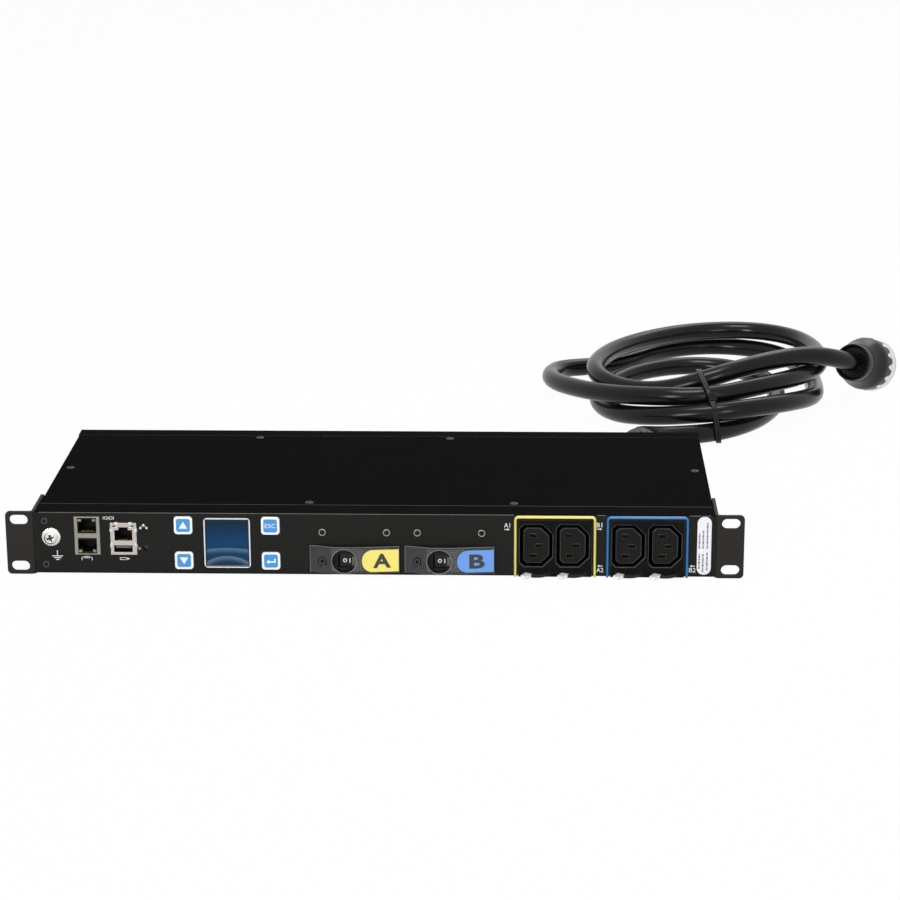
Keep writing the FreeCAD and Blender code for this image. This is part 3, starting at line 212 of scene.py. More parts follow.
def as_mesh(name, bm, finish, smooth=40):
    """A clean mesh from a bmesh: doubles merged, normals outward, sharp only past an angle."""
    bmesh.ops.remove_doubles(bm, verts=bm.verts, dist=1e-7)
    bmesh.ops.dissolve_degenerate(bm, edges=bm.edges, dist=1e-8)
    bmesh.ops.recalc_face_normals(bm, faces=bm.faces)
    limit = math.radians(smooth)
    for face in bm.faces:
        face.smooth = True
    for edge in bm.edges:
        edge.smooth = len(edge.link_faces) == 2 and edge.calc_face_angle(0) < limit
    mesh = bpy.data.meshes.new(name)
    bm.to_mesh(mesh)
    bm.free()
    mesh.materials.append(finish)
    return mesh


def show(name, data):
    """A new object in the scene."""
    made = bpy.data.objects.new(name, data)
    bpy.context.scene.collection.objects.link(made)
    return made


def piece(name, mesh, body="housing"):
    """A new piece that rides on a body; its finish is the one its mesh carries."""
    made = show(name, mesh)
    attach(made, body)
    return made


def modelled(name, bm, finish, body="housing", smooth=40):
    """A new piece straight from a bmesh."""
    return piece(name, as_mesh(name, bm, finish, smooth), body)


def copies_tree():
    """Node tree: the shape on each point of the mesh that carries the modifier, made real."""
    tree = bpy.data.node_groups.new("copies_on_points", "GeometryNodeTree")
    for name, way, kind in (("Geometry", "INPUT", "Geometry"), ("Shape", "INPUT", "Object"),
                            ("Finish", "INPUT", "Material"), ("Geometry", "OUTPUT", "Geometry")):
        tree.interface.new_socket(name, in_out=way, socket_type="NodeSocket" + kind)
    start = add(tree, "NodeGroupInput", {})
    shape = add(tree, "GeometryNodeObjectInfo", {"Object": start.outputs["Shape"]})
    turn = add(tree, "GeometryNodeInputNamedAttribute", {"Name": "turn"})
    turn.data_type = "FLOAT_VECTOR"
    as_turn = add(tree, "FunctionNodeEulerToRotation", {"Euler": turn.outputs["Attribute"]})
    place = add(tree, "GeometryNodeInstanceOnPoints", {
        "Points": start.outputs["Geometry"], "Instance": shape.outputs["Geometry"],
        "Rotation": as_turn.outputs["Rotation"]})
    real = add(tree, "GeometryNodeRealizeInstances", {"Geometry": place.outputs["Instances"]})
    coated = add(tree, "GeometryNodeSetMaterial", {
        "Geometry": real.outputs["Geometry"], "Material": start.outputs["Finish"]})
    add(tree, "NodeGroupOutput", {"Geometry": coated.outputs["Geometry"]})
    return tree


COPIES = copies_tree()


def set_out(name, shape_mesh, spots, turns, finish):
    """One mesh of a shape copied to each spot, turned by the given Euler angles."""
    points = bpy.data.meshes.new(name)
    points.from_pydata(spots, [], [])
    points.attributes.new("turn", "FLOAT_VECTOR", "POINT")
    points.attributes["turn"].data.foreach_set("vector", [part for turn in turns for part in turn])
    carrier = show(name, points)
    shape = show(name + "_shape", shape_mesh)
    step = carrier.modifiers.new("copies", "NODES")
    step.node_group = COPIES
    wanted = {"Shape": shape, "Finish": finish}
    for socket in COPIES.interface.items_tree:
        if socket.in_out == "INPUT" and socket.name in wanted:
            step[socket.identifier] = wanted[socket.name]
    bpy.context.view_layer.update()
    graph = bpy.context.evaluated_depsgraph_get()
    mesh = bpy.data.meshes.new_from_object(carrier.evaluated_get(graph))
    for spare in (carrier, shape):
        bpy.data.objects.remove(spare)
    return mesh


TO_FRONT = (math.radians(90), 0, 0)
LOBES = 6
LOBE_DEEP = 0.22


def six_lobes(k, turn):
    """Waves the second and third points of a profile in and out."""
    return (LOBE_DEEP * math.cos(LOBES * turn) if k in (1, 2) else 0, 0)


def set_screws(fronts, spots):
    """Turned screw fronts of (name, profile, shift, finish), copied to spots that face forward."""
    made = []
    for name, profile, shift, finish in fronts:
        bm = bmesh.new()
        lathe(bm, profile, LOBES * 6, Matrix.Scale(MM, 4), shift)
        shape = as_mesh(name + "_one", bm, finish, 30)
        mesh = set_out(name, shape, spots, [TO_FRONT] * len(spots), finish)
        made.append(piece(name, mesh))
    return made


black_oxide = coat("black_oxide", srgb(32, 32, 33), 0.4, 0.3, 0.01, wear_and_glint=srgb(110, 110, 110), metal=0.6)
bright_zinc = coat("bright_zinc", srgb(222, 222, 218), 0.3, 0.25, 0.008, drift=0.1, metal=1.0)
screw_steel = coat("screw_steel", srgb(158, 158, 154), 0.35, 0.25, 0.008, drift=0.15, metal=1.0)
# Near-black drive recesses on both kinds of screw: painted shade.
socket_shade = coat("socket_shade", srgb(8, 8, 8), 0.5, 0.3, 0.01, wear_and_glint=srgb(120, 120, 118), gloss=0.1)
screw_black = coat("screw_black", srgb(19, 19, 19), 0.45, 0.3, 0.01, wear_and_glint=srgb(110, 110, 110), gloss=0.15)
# Grey ring on the black screw heads: a painted highlight on the rim.
ring_highlight_grey = coat("ring_highlight_grey", srgb(88, 88, 86), 0.4, 0.3, 0.01, gloss=0.3)
paint(black_oxide, "cover_screws", "ear_screws")
paint(screw_black, "panel_screws")
HEAD_R = 2.45
SOCKET_R = 1.8
head_profile = [(SOCKET_R, 0), (HEAD_R, 0), (HEAD_R, 0.35), (2.35, 0.75), (2.2, 0.9),
                (SOCKET_R + 0.15, 0.9), (SOCKET_R, 0.85), (SOCKET_R, 0)]
socket_profile = [(0, 0.3), (0.9, 0.3), (1.2, 0.7), (SOCKET_R, 0.78), (SOCKET_R, 0.1), (0, 0.05)]
highlight_ring_profile = [(1.55, 0), (1.55, 0.05), (1.95, 0.05), (1.95, 0), (1.55, 0)]
drive_profile = [(0, 0.05), (1.0, 0.05), (1.0, 0), (0, 0)]
BREAKER_SCREW = (21.02, 8.2)
PANEL_SCREW = (-215.8, 14.9)
GUARD_SCREW = (-21.2, -11.2)
LOW_HEAD = 0.9
GUARD_SEAT = 1.4
breaker_spots = []
low_spots = []
for side in (-1, 1):
    low_spots.append((PANEL_SCREW[0] * MM, front_y - LOW_HEAD * MM, PANEL_SCREW[1] * MM * side))
for guard in ("breaker_guard_a", "breaker_guard_b"):
    low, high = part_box(guard)
    middle = (low.x + high.x) / 2
    for side in (-1, 1):
        breaker_spots.append((middle + BREAKER_SCREW[0] * MM * side, front_y, BREAKER_SCREW[1] * MM))
    proud_y = front_y - (GUARD_SEAT + LOW_HEAD) * MM
    low_spots.append((middle + GUARD_SCREW[0] * MM, proud_y, GUARD_SCREW[1] * MM))
bright_fronts = (("breaker_screw_rims", head_profile, None, screw_steel),
                 ("breaker_screw_sockets", socket_profile, six_lobes, socket_shade))
black_fronts = (("panel_screw_rings", highlight_ring_profile, None, ring_highlight_grey),
                ("panel_screw_drives", drive_profile, six_lobes, socket_shade))
for heads in set_screws(bright_fronts, breaker_spots):
    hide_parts("breaker_screws")
set_screws(black_fronts, low_spots)

# Earthing point
# A large zinc cross-head screw on a toothed washer, with the earth mark printed below it; the cross is a
# dark plate of painted shade.


def facing_front(x, y, z, scale=MM):
    """Frame of a plane that faces forward: across, up and out of it, in millimetres unless scaled."""
    return Matrix(((scale, 0, 0, x), (0, 0, -scale, y), (0, scale, 0, z), (0, 0, 0, 1)))


def ring_of(bm, outline, level, place):
    """New points along an outline of (across, up), at a level of the third local axis."""
    return [bm.verts.new(place @ Vector((a, u, level))) for a, u in outline]


def skin(bm, first, second):
    """Faces between two closed rings of as many points."""
    for i in range(len(first)):
        j = (i + 1) % len(first)
        bm.faces.new((first[i], first[j], second[j], second[i]))


def plate(bm, outline, low, high, place):
    """A flat plate over an outline, between two levels."""
    back = ring_of(bm, outline, low, place)
    front = ring_of(bm, outline, high, place)
    bm.faces.new(back)
    bm.faces.new(front)
    skin(bm, back, front)


def box_outline(left, right, low, high):
    """A rectangle's outline."""
    return [(left, low), (right, low), (right, high), (left, high)]


INK = 0.06
PANEL = facing_front(0, front_y, 0)


def printed(bm, outline):
    """A printed shape on the panel."""
    plate(bm, outline, 0, INK, PANEL)


TEETH = 26
TOOTH = 0.3


def serration(k, turn):
    """Waves the washer's outer points in and out."""
    return (TOOTH * math.cos(TEETH * turn) if k in (1, 2) else 0, 0)


paint(bright_zinc, "ground_screw")
white_ink = coat("white_ink", srgb(225, 226, 226), 0.6, 0.2, 0.004, drift=0.04)
low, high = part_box("ground_washer")
washer_mid = (low + high) / 2
washer_profile = [(2.6, 0), (6.0, 0), (6.05, 0.6), (5.5, 0.9), (2.6, 0.9), (2.6, 0)]
bm = bmesh.new()
lathe(bm, washer_profile, TEETH * 6, facing_front(washer_mid.x, front_y, washer_mid.z), serration)
washer = modelled("toothed_washer", bm, bright_zinc)
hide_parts("ground_washer")
low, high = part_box("ground_screw")
head_front = facing_front(washer_mid.x, low.y, washer_mid.z)
# A dark cross plate on the zinc head: painted shade in the cross recess.
bm = bmesh.new()
for turn, lift in ((20, 0.042), (110, 0.051)):
    arm = head_front @ Matrix.Rotation(math.radians(turn), 4, "Z")
    plate(bm, box_outline(-2.5, 2.5, -0.55, 0.55), -0.3, lift, arm)
modelled("ground_screw_cross", bm, black_oxide)
EARTH_X, EARTH_Z = -208.2, -9.1
EARTH_STEM = (0.3, 3.6)
EARTH_BARS = (3.6, 2.4, 1.1)
BAR_STEP = 1.25
BAR_TALL = 0.6
bm = bmesh.new()
printed(bm, box_outline(EARTH_X - EARTH_STEM[0], EARTH_X + EARTH_STEM[0], EARTH_Z, EARTH_Z + EARTH_STEM[1]))
for row, reach in enumerate(EARTH_BARS):
    top = EARTH_Z - row * BAR_STEP
    printed(bm, box_outline(EARTH_X - reach, EARTH_X + reach, top - BAR_TALL, top))
modelled("earth_mark", bm, white_ink)

# Serial jacks
# Two modular jacks stacked in one tinned shield: black inserts, eight gilt contacts each, and
# a yellow and a green lamp beside each latch notch. Their marks are printed on the panel.


def round_box(left, right, low, high, radius, steps=5):
    """A rectangle's outline with rounded corners."""
    corners = ((right - radius, low + radius, -90), (right - radius, high - radius, 0),
               (left + radius, high - radius, 90), (left + radius, low + radius, 180))
    points = []
    for across, up, start in corners:
        for i in range(steps + 1):
            turn = math.radians(start + 90 * i / steps)
            points.append((across + radius * math.cos(turn), up + radius * math.sin(turn)))
    return points


def band(bm, outer, inner, low, high, place):
    """A flat ring between two outlines with as many points each."""
    rings = []
    for outline, level in ((outer, low), (outer, high), (inner, high), (inner, low)):
        rings.append(ring_of(bm, outline, level, place))
    for first, second in zip(rings, rings[1:] + rings[:1]):
        skin(bm, first, second)


def type_on(bm, words, tall, across, up, place, level=0.0, weight=0.0, wide=None):
    """Printed words of the given height, and width if any, centred on a point of a plane."""
    curve = bpy.data.curves.new("type", "FONT")
    curve.body = words
    curve.align_x = "CENTER"
    curve.resolution_u = 4
    curve.offset = weight
    curve.extrude = 0.5
    holder = show("type", curve)
    bpy.context.view_layer.update()
    graph = bpy.context.evaluated_depsgraph_get()
    mesh = bpy.data.meshes.new_from_object(holder.evaluated_get(graph))
    rows = [vert.co.y for vert in mesh.vertices]
    columns = [vert.co.x for vert in mesh.vertices]
    size = tall / (max(rows) - min(rows))
    stretch = wide / (max(columns) - min(columns)) if wide else size
    thick = Matrix.Diagonal((stretch, size, INK, 1))
    middle = (max(columns) + min(columns)) / 2 * stretch
    centre = Matrix.Translation((across - middle, up - tall / 2 - min(rows) * size, level + INK / 2))
    mesh.transform(place @ centre @ thick)
    bm.from_mesh(mesh)
    bpy.data.objects.remove(holder)
    bpy.data.curves.remove(curve)
    bpy.data.meshes.remove(mesh)


shield_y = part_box("serial_jack_shield")[0].y
SHIELD = facing_front(0, shield_y, 0)


def lens(bm, x, z, wide, tall):
    """A small moulding on a jack's shield: a rounded plate with a smaller raised front."""
    for inset, radius, back, front in ((0, 0.3, -0.4, 0.15), (0.25, 0.25, 0.0, 0.3)):
        w, t = wide / 2 - inset, tall / 2 - inset
        plate(bm, round_box(x - w, x + w, z - t, z + t, radius), back, front, SHIELD)


tinned = coat("tinned_shield", srgb(146, 142, 133), 0.38, 0.4, 0.012, wear_and_glint=srgb(218, 216, 210), metal=0.9)
jack_black = coat("jack_black", srgb(18, 18, 18), 0.5, 0.3, 0.01, gloss=0.12)
gilt = coat("gilt", srgb(212, 172, 92), 0.25, 0.2, 0.004, metal=1.0)
lamp_yellow = coat("lamp_yellow", srgb(158, 142, 66), 0.2, 0.4, 0.004, drift=0.08)
lamp_green = coat("lamp_green", srgb(98, 128, 100), 0.2, 0.4, 0.004, drift=0.08)
paint(tinned, "serial_jack_shield")
paint(jack_black, "serial_jack_body", "lan_jack_body")
paint(gilt, "jack_contacts")
SERIAL_X = -188.0
LAMP_REACH = 4.7
LAMP_ROWS = (15.6, -5.6)
LAMP_SIZE = (2.2, 1.6)
serial_lamps = (("serial_lamps_yellow", lamp_yellow, -1), ("serial_lamps_green", lamp_green, 1))
for name, finish, side in serial_lamps:
    bm = bmesh.new()
    for z in LAMP_ROWS:
        lens(bm, SERIAL_X + LAMP_REACH * side, z, *LAMP_SIZE)
    modelled(name, bm, finish)
PORT_HALF, NOTCH_HALF, FACE_REACH = 5.85, 3.1, 6.25
SILL = 1.1
bm = bmesh.new()
for mouth, shoulder, notch, edge, way in ((7.7, 14.4, 16.3, 17.3, 1), (2.3, -4.4, -6.3, -7.3, -1)):
    strips = [(-FACE_REACH, FACE_REACH, mouth - SILL * way, mouth), (-NOTCH_HALF, NOTCH_HALF, notch, edge)]
    for side in (-1, 1):
        strips.append((PORT_HALF * side, FACE_REACH * side, mouth, shoulder))
        strips.append((NOTCH_HALF * side, FACE_REACH * side, shoulder, edge))
    for x0, x1, z0, z1 in strips:
        across = [SERIAL_X + x for x in sorted((x0, x1))]
        plate(bm, box_outline(*across, *sorted((z0, z1))), 0.0, 0.05, SHIELD)
modelled("serial_port_faces", bm, jack_black)
LINK_X, LINK_Z = -188.8, -11.0
bm = bmesh.new()
type_on(bm, "IOIOI", 2.3, -173.7, 17.0, PANEL, weight=0.01)
for way in (-1, 1):
    x = LINK_X + 0.95 * way
    band(bm, round_box(x - 1.0, x + 1.0, LINK_Z + 0.1, LINK_Z + 1.7, 0.75),
         round_box(x - 0.6, x + 0.6, LINK_Z + 0.5, LINK_Z + 1.3, 0.35), 0, INK, PANEL)
    arm = sorted((LINK_X + 1.9 * way, LINK_X + 3.5 * way))
    printed(bm, box_outline(*arm, LINK_Z + 0.7, LINK_Z + 1.1))
    drop = sorted((LINK_X + 3.1 * way, LINK_X + 3.6 * way))
    printed(bm, box_outline(*drop, LINK_Z - 1.3, LINK_Z + 1.1))
modelled("serial_marks", bm, white_ink)

# Network and host ports
# One bright tinned shield holds a network jack with dark lamps over a flat host port; sprung
# fingers round its edge touch the panel. A tree of three boxes and a plain plug outline mark them.
bright_tin = coat("bright_tin", srgb(186, 181, 174), 0.36, 0.4, 0.012, wear_and_glint=srgb(232, 230, 226), metal=0.9)
finger_tin = coat("finger_tin", srgb(238, 236, 231), 0.3, 0.3, 0.008, metal=0.4)
lamp_dark = coat("lamp_dark", srgb(44, 42, 39), 0.25, 0.4, 0.004, drift=0.08)
tongue_grey = coat("tongue_grey", srgb(92, 86, 80), 0.4, 0.4, 0.006)
paint(bright_tin, "lan_jack_shield")
LAN_X = -164.15
LAMP_SEAT = (4.9, 10.3, 2.7, 1.8)
LAMP_FRONT = (6.0, 11.7, 2.0, 0.9)
FINGERS = ((7.9, 8.7, 1.1, 1.8), (7.9, -0.7, 1.1, 1.8), (4.6, 13.4, 2.2, 0.9))
network_bits = (("network_lamp_seats", bright_tin, "shield", (LAMP_SEAT,)),
                ("network_lamps", lamp_dark, "jack_black", (LAMP_FRONT,)),
                ("shield_fingers", finger_tin, "shield", FINGERS))
for name, finish, slot, places in network_bits:
    bm = bmesh.new()
    for reach, z, wide, tall in places:
        for side in (-1, 1):
            lens(bm, LAN_X + reach * side, z, wide, tall)
    modelled(name, bm, finish)
TONGUE_X, TONGUE_Z = -164.45, -3.15
TONGUE_WIDE, TONGUE_TALL = 10.2, 1.4
TONGUE_BACK = 1.5
bm = bmesh.new()
tip = round_box(TONGUE_X - TONGUE_WIDE / 2, TONGUE_X + TONGUE_WIDE / 2,
                TONGUE_Z - TONGUE_TALL / 2, TONGUE_Z + TONGUE_TALL / 2, 0.2, 3)
plate(bm, tip, -TONGUE_BACK, 0.1 - TONGUE_BACK, SHIELD)
modelled("host_port_tongue", bm, tongue_grey)
TREE_X, TREE_Z = -150.9, 11.3
HOST_X, HOST_Z = -164.7, -11.0
RESET_X, RESET_Z = -153.9, -3.9
STROKE, STROKE_HALF = 0.7, 0.2
bm = bmesh.new()
for dx, dz in ((0, 1.1), (-2.0, -1.1), (2.0, -1.1)):
    x, z = TREE_X + dx, TREE_Z + dz
    printed(bm, box_outline(x - 0.7, x + 0.7, z - 0.6, z + 0.6))
printed(bm, box_outline(TREE_X - 2.2, TREE_X + 2.2, TREE_Z - 0.14, TREE_Z + 0.14))
band(bm, box_outline(HOST_X - 2.4, HOST_X + 2.4, HOST_Z - 0.9, HOST_Z + 0.9),
     box_outline(HOST_X - 2.0, HOST_X + 2.0, HOST_Z - 0.5, HOST_Z + 0.5), 0, INK, PANEL)
printed(bm, box_outline(HOST_X + 2.4, HOST_X + 3.9, HOST_Z - 0.4, HOST_Z + 0.4))
for lean in (-1, 1):
    stroke = []
    for end, side in ((-1, -1), (-1, 1), (1, 1), (1, -1)):
        stroke.append((RESET_X + STROKE * lean * end + STROKE_HALF * side, RESET_Z + STROKE * end))
    plate(bm, stroke, 0, INK + 0.01 * lean, PANEL)
modelled("network_marks", bm, white_ink)

# Boards and reset button
# Green circuit boards on posts carry the jacks and, behind the panel, the screen and key switches.
board_green = coat("board_green", srgb(24, 82, 52), 0.4, 0.6, 0.02, drift=0.25)
button_black = coat("button_black", srgb(20, 20, 21), 0.45, 0.3, 0.01)
paint(board_green, "comms_board", "display_board", "meter_board")
paint(button_black, "reset_plunger")

# Screen
# A pale raised rim round a clear window; behind it a blue backlit panel with a dark margin.


def screen_glass():
    """Deep blue behind glass, darker to the top, with two pale arcs of painted reflection and the pixel
    grid's rows.
    """
    made, tree, shader = new_finish("screen_blue")
    low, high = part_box("display_window")
    place = add(tree, "ShaderNodeTexCoord", {}).outputs["Object"]
    split = add(tree, "ShaderNodeSeparateXYZ", {"Vector": place})
    rise = spread(tree, split.outputs["Z"], low.z, high.z)
    wave = add(tree, "ShaderNodeMath", {0: noise(tree, place, 90), 1: 0.16, 2: rise}, "MULTIPLY_ADD")
    ramp = add(tree, "ShaderNodeValToRGB", {"Fac": wave.outputs["Value"]})
    stops = ramp.color_ramp.elements
    stops[0].position, stops[0].color = 0.1, srgb(16, 50, 76)
    stops[1].position, stops[1].color = 1.0, srgb(4, 38, 62)
    stops.new(0.6).color = srgb(2, 58, 98)
    tint = ramp.outputs["Color"]
    # Two pale arcs mixed into the blue: a painted reflection on the glass.
    for crest, radius, strength in ((0.38, 0.086, 0.5), (0.20, 0.0255, 0.6)):
        hub = Vector(((low.x + high.x) / 2, low.y, low.z + crest * (high.z - low.z) - radius))
        away = add(tree, "ShaderNodeVectorMath", {0: place, 1: hub}, "DISTANCE")
        near = spread(tree, away.outputs["Value"], radius - 3.6 * MM, radius + 0.7 * MM)
        arc = add(tree, "ShaderNodeValToRGB", {"Fac": near})
        stops = arc.color_ramp.elements
        stops[0].color = (0, 0, 0, 1)
        stops[1].position, stops[1].color = 0.8, (strength, strength, strength, 1)
        stops.new(0.92).color = (0, 0, 0, 1)
        pale = add(tree, "ShaderNodeMixRGB", {
            "Fac": arc.outputs["Color"], "Color1": tint, "Color2": srgb(110, 138, 160)})
        tint = pale.outputs["Color"]
    rows = add(tree, "ShaderNodeTexWave", {"Vector": place, "Scale": 700})
    rows.bands_direction = "Z"
    raised = add(tree, "ShaderNodeBump", {
        "Strength": 0.05, "Distance": 0.02 * MM, "Height": rows.outputs["Fac"]})
    feed(tree, shader, {
        "Base Color": tint, "Roughness": 0.15, "Specular IOR Level": 0.15,
        "Normal": raised.outputs["Normal"]})
    return made


rim_white = coat("rim_white", srgb(222, 226, 230), 0.35, 0.4, 0.008, drift=0.04)
margin_black = coat("margin_black", srgb(16, 18, 24), 0.25, 0.4, 0.004)
paint(rim_white, "display_bezel")
paint(screen_glass(), "display_window")
low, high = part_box("display_bezel")
RIM = 0.8 * MM
MARGIN = 1.5 * MM
bm = bmesh.new()
band(bm, round_box(low.x + RIM, high.x - RIM, low.z + RIM, high.z - RIM, 0.6 * MM),
     round_box(low.x + MARGIN, high.x - MARGIN, low.z + MARGIN, high.z - MARGIN, 0.3 * MM),
     0, INK * MM, facing_front(0, low.y, 0, 1.0))
modelled("screen_margin", bm, margin_black)

# Keys
# Four moulded caps, white in front and black behind the panel's face, where the black is painted shade
# in the gaps round the caps; a blue printed face sits in the recess of each, with a white mark.
key_white = coat("key_white", srgb(240, 243, 246), 0.4, 0.4, 0.008, drift=0.03)
# Behind the panel's face the caps turn black: painted shade in the gaps at the openings' corners.
paint_shade_by_y(key_white, "Object", front_y + 0.1 * MM, front_y + 0.3 * MM, srgb(18, 18, 18))
mark_white = coat("mark_white", srgb(240, 243, 246), 0.5, 0.3, 0.004, drift=0.03)
key_blue = coat("key_blue", srgb(56, 146, 212), 0.35, 0.5, 0.006, drift=0.06)
FACE_HALF = 4.45
FACE_THICK = 0.12
RECESS = 0.2
ARROW_UP = [(-2.85, -2.2), (2.85, -2.2), (0, 2.6)]
ARROW_DOWN = [(a, -u) for a, u in ARROW_UP]
ENTER = [(-3.1, -0.6), (-1.2, 1.0), (-1.2, -0.1), (2.0, -0.1), (2.0, 1.7), (3.1, 1.7), (3.1, -1.1),
         (-1.2, -1.1), (-1.2, -2.2)]
WORD_TALL, WORD_WIDE = 2.9, 7.2
key_marks = {"key_up": ARROW_UP, "key_down": ARROW_DOWN, "key_escape": "ESC", "key_enter": ENTER}
for name, mark in key_marks.items():
    paint(key_white, name)
    low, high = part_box(name)
    middle = (low + high) / 2
    key_front = facing_front(middle.x, low.y + RECESS * MM, middle.z)
    bm = bmesh.new()
    plate(bm, round_box(-FACE_HALF, FACE_HALF, -FACE_HALF, FACE_HALF, 1.4), 0, FACE_THICK, key_front)
    modelled(name + "_face", bm, key_blue, name)
    bm = bmesh.new()
    if isinstance(mark, str):
        type_on(bm, mark, WORD_TALL, 0, 0, key_front, FACE_THICK, 0.0, WORD_WIDE)
    else:
        plate(bm, mark, FACE_THICK, FACE_THICK + INK, key_front)
    modelled(name + "_mark", bm, mark_white, name)

# Circuit breakers
# Black moulded breakers behind the panel, each with a rocker that tips between its two marks.
breaker_black = coat("breaker_black", srgb(24, 24, 24), 0.45, 0.35, 0.012, gloss=0.12)
rocker_black = coat("rocker_black", srgb(26, 26, 26), 0.35, 0.4, 0.01, wear_and_glint=srgb(90, 90, 90), gloss=0.2)
rocker_grip = coat("rocker_grip", srgb(112, 112, 110), 0.5, 0.4, 0.02, gloss=0.2)
mark_grey = coat("mark_grey", srgb(226, 226, 224), 0.6, 0.2, 0.004, drift=0.06)
paint(breaker_black, "breaker_a", "breaker_b")
paint(rocker_black, "breaker_rocker_a", "breaker_rocker_b")
ROCKER_TILT = math.radians(-9)
ROCKER_DROP = (5.8, 1.2)
ROCKER_PIVOT = (-3.95, 4.0, -11.35)
HALF_MID = (2.9, -4.0)
OFF_RING = round_box(-0.2, 2.4, -1.35, 1.35, 1.25)
OFF_HOLE = round_box(0.4, 1.8, -0.75, 0.75, 0.65)
ON_BAR = box_outline(-1.9, -1.2, -1.5, 1.5)
RIDGES = 4
RIDGE_STEP = 0.62
for name in ("a", "b"):
    low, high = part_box("breaker_guard_" + name)
    middle = Vector(((low.x + high.x) / 2, front_y, 0))
    turned = (Matrix.Translation(middle + Vector(ROCKER_PIVOT) * MM)
              @ Matrix.Rotation(ROCKER_TILT, 4, "Z") @ Matrix.Scale(MM, 4))
    halves = {}
    for side in (-1, 1):
        lean = math.atan2(-ROCKER_DROP[1] * side, ROCKER_DROP[0])
        facing = Matrix.Rotation(lean, 4, "Z") @ Matrix.Rotation(math.radians(90), 4, "X")
        halves[side] = turned @ Matrix.Translation((HALF_MID[0] * side, HALF_MID[1], 0)) @ facing
    bm = bmesh.new()
    band(bm, OFF_RING, OFF_HOLE, 0, INK, halves[-1])
    plate(bm, ON_BAR, 0, INK, halves[1])
    modelled("rocker_marks_" + name, bm, mark_grey, "rocker_" + name)
    bm = bmesh.new()
    for i in range(RIDGES):
        foot = 0.3 + RIDGE_STEP * i
        plate(bm, round_box(foot, foot + 0.45, -3.1, 3.1, 0.2, 3), -0.1, 0.25, halves[1])
    modelled("rocker_ridges_" + name, bm, rocker_grip, "rocker_" + name)

# Breaker guards
# Clear moulded hoods with an eye over the rocker, screwed on at the left; the section's letter
# is a coloured label on the sloping right half.


def clear_plastic(name, colour, rough):
    """Clear moulding: light passes, with faint flow lines in gloss and relief."""
    made, tree, shader = new_finish(name)
    place = add(tree, "ShaderNodeTexCoord", {}).outputs["Object"]
    flow = noise(tree, place, 160, 4.0)
    shine = spread(tree, flow, 0.0, 1.0, rough * 0.6, rough * 1.5)
    raised = add(tree, "ShaderNodeBump", {"Strength": 0.03, "Distance": 0.1 * MM, "Height": flow})
    feed(tree, shader, {
        "Base Color": colour, "Transmission Weight": 1.0, "IOR": 1.49, "Coat Weight": 0.6,
        "Coat Roughness": 0.4, "Roughness": shine, "Normal": raised.outputs["Normal"]})
    return made


guard_clear = clear_plastic("guard_clear", srgb(235, 235, 232), 0.03)
# Grey slips along the hoods' top, ends and eye rim are painted highlights on the clear edges.
guard_edge_highlight = coat("guard_edge_highlight", srgb(124, 124, 122), 0.3, 0.4, 0.01, drift=0.2)
label_yellow = coat("label_yellow", srgb(238, 224, 112), 0.4, 0.5, 0.006, drift=0.05)
label_blue = coat("label_blue", srgb(102, 152, 224), 0.4, 0.5, 0.006, drift=0.05)
letter_dark = coat("letter_dark", srgb(44, 44, 46), 0.5, 0.4, 0.004, drift=0.08)
paint(guard_clear, "breaker_guard_a", "breaker_guard_b")
HOOD_FOOT, HOOD_STEP = 1.3, (4, 1.6)
CREST_START, SLOPE_START = 17, 28.0
GUARD_END = 2.0
LABEL_LOW, LABEL_HIGH = -17.8, -2.6
LABEL_LEFT, LABEL_RIGHT = 6.4, 30.4
LABEL_CURVE = 7.0
LABEL_STEPS = 8
LABEL_THICK = 0.16
LETTER_TALL, LETTER_X, LETTER_Z = 9.8, 19.4, -10.2
LETTER_WEIGHT = 0.035
EDGE = 0.3
EDGE_LIFT = 0.1
EYE_EDGE = 0.5
EYE_SHIFT, EYE_Z, EYE_R = -6.6, -10.1, 8.0
EYE_STEPS = 48
ALONG = Matrix(((MM, 0, 0, 0), (0, -MM, 0, front_y), (0, 0, MM, 0), (0, 0, 0, 1)))


def hood_height(hood, x):
    """How far the hood stands off the panel at a place across it."""
    for (x0, h0), (x1, h1) in zip(hood, hood[1:]):
        if x0 <= x <= x1:
            return h0 + (h1 - h0) * (x - x0) / (x1 - x0)
    return 0.0


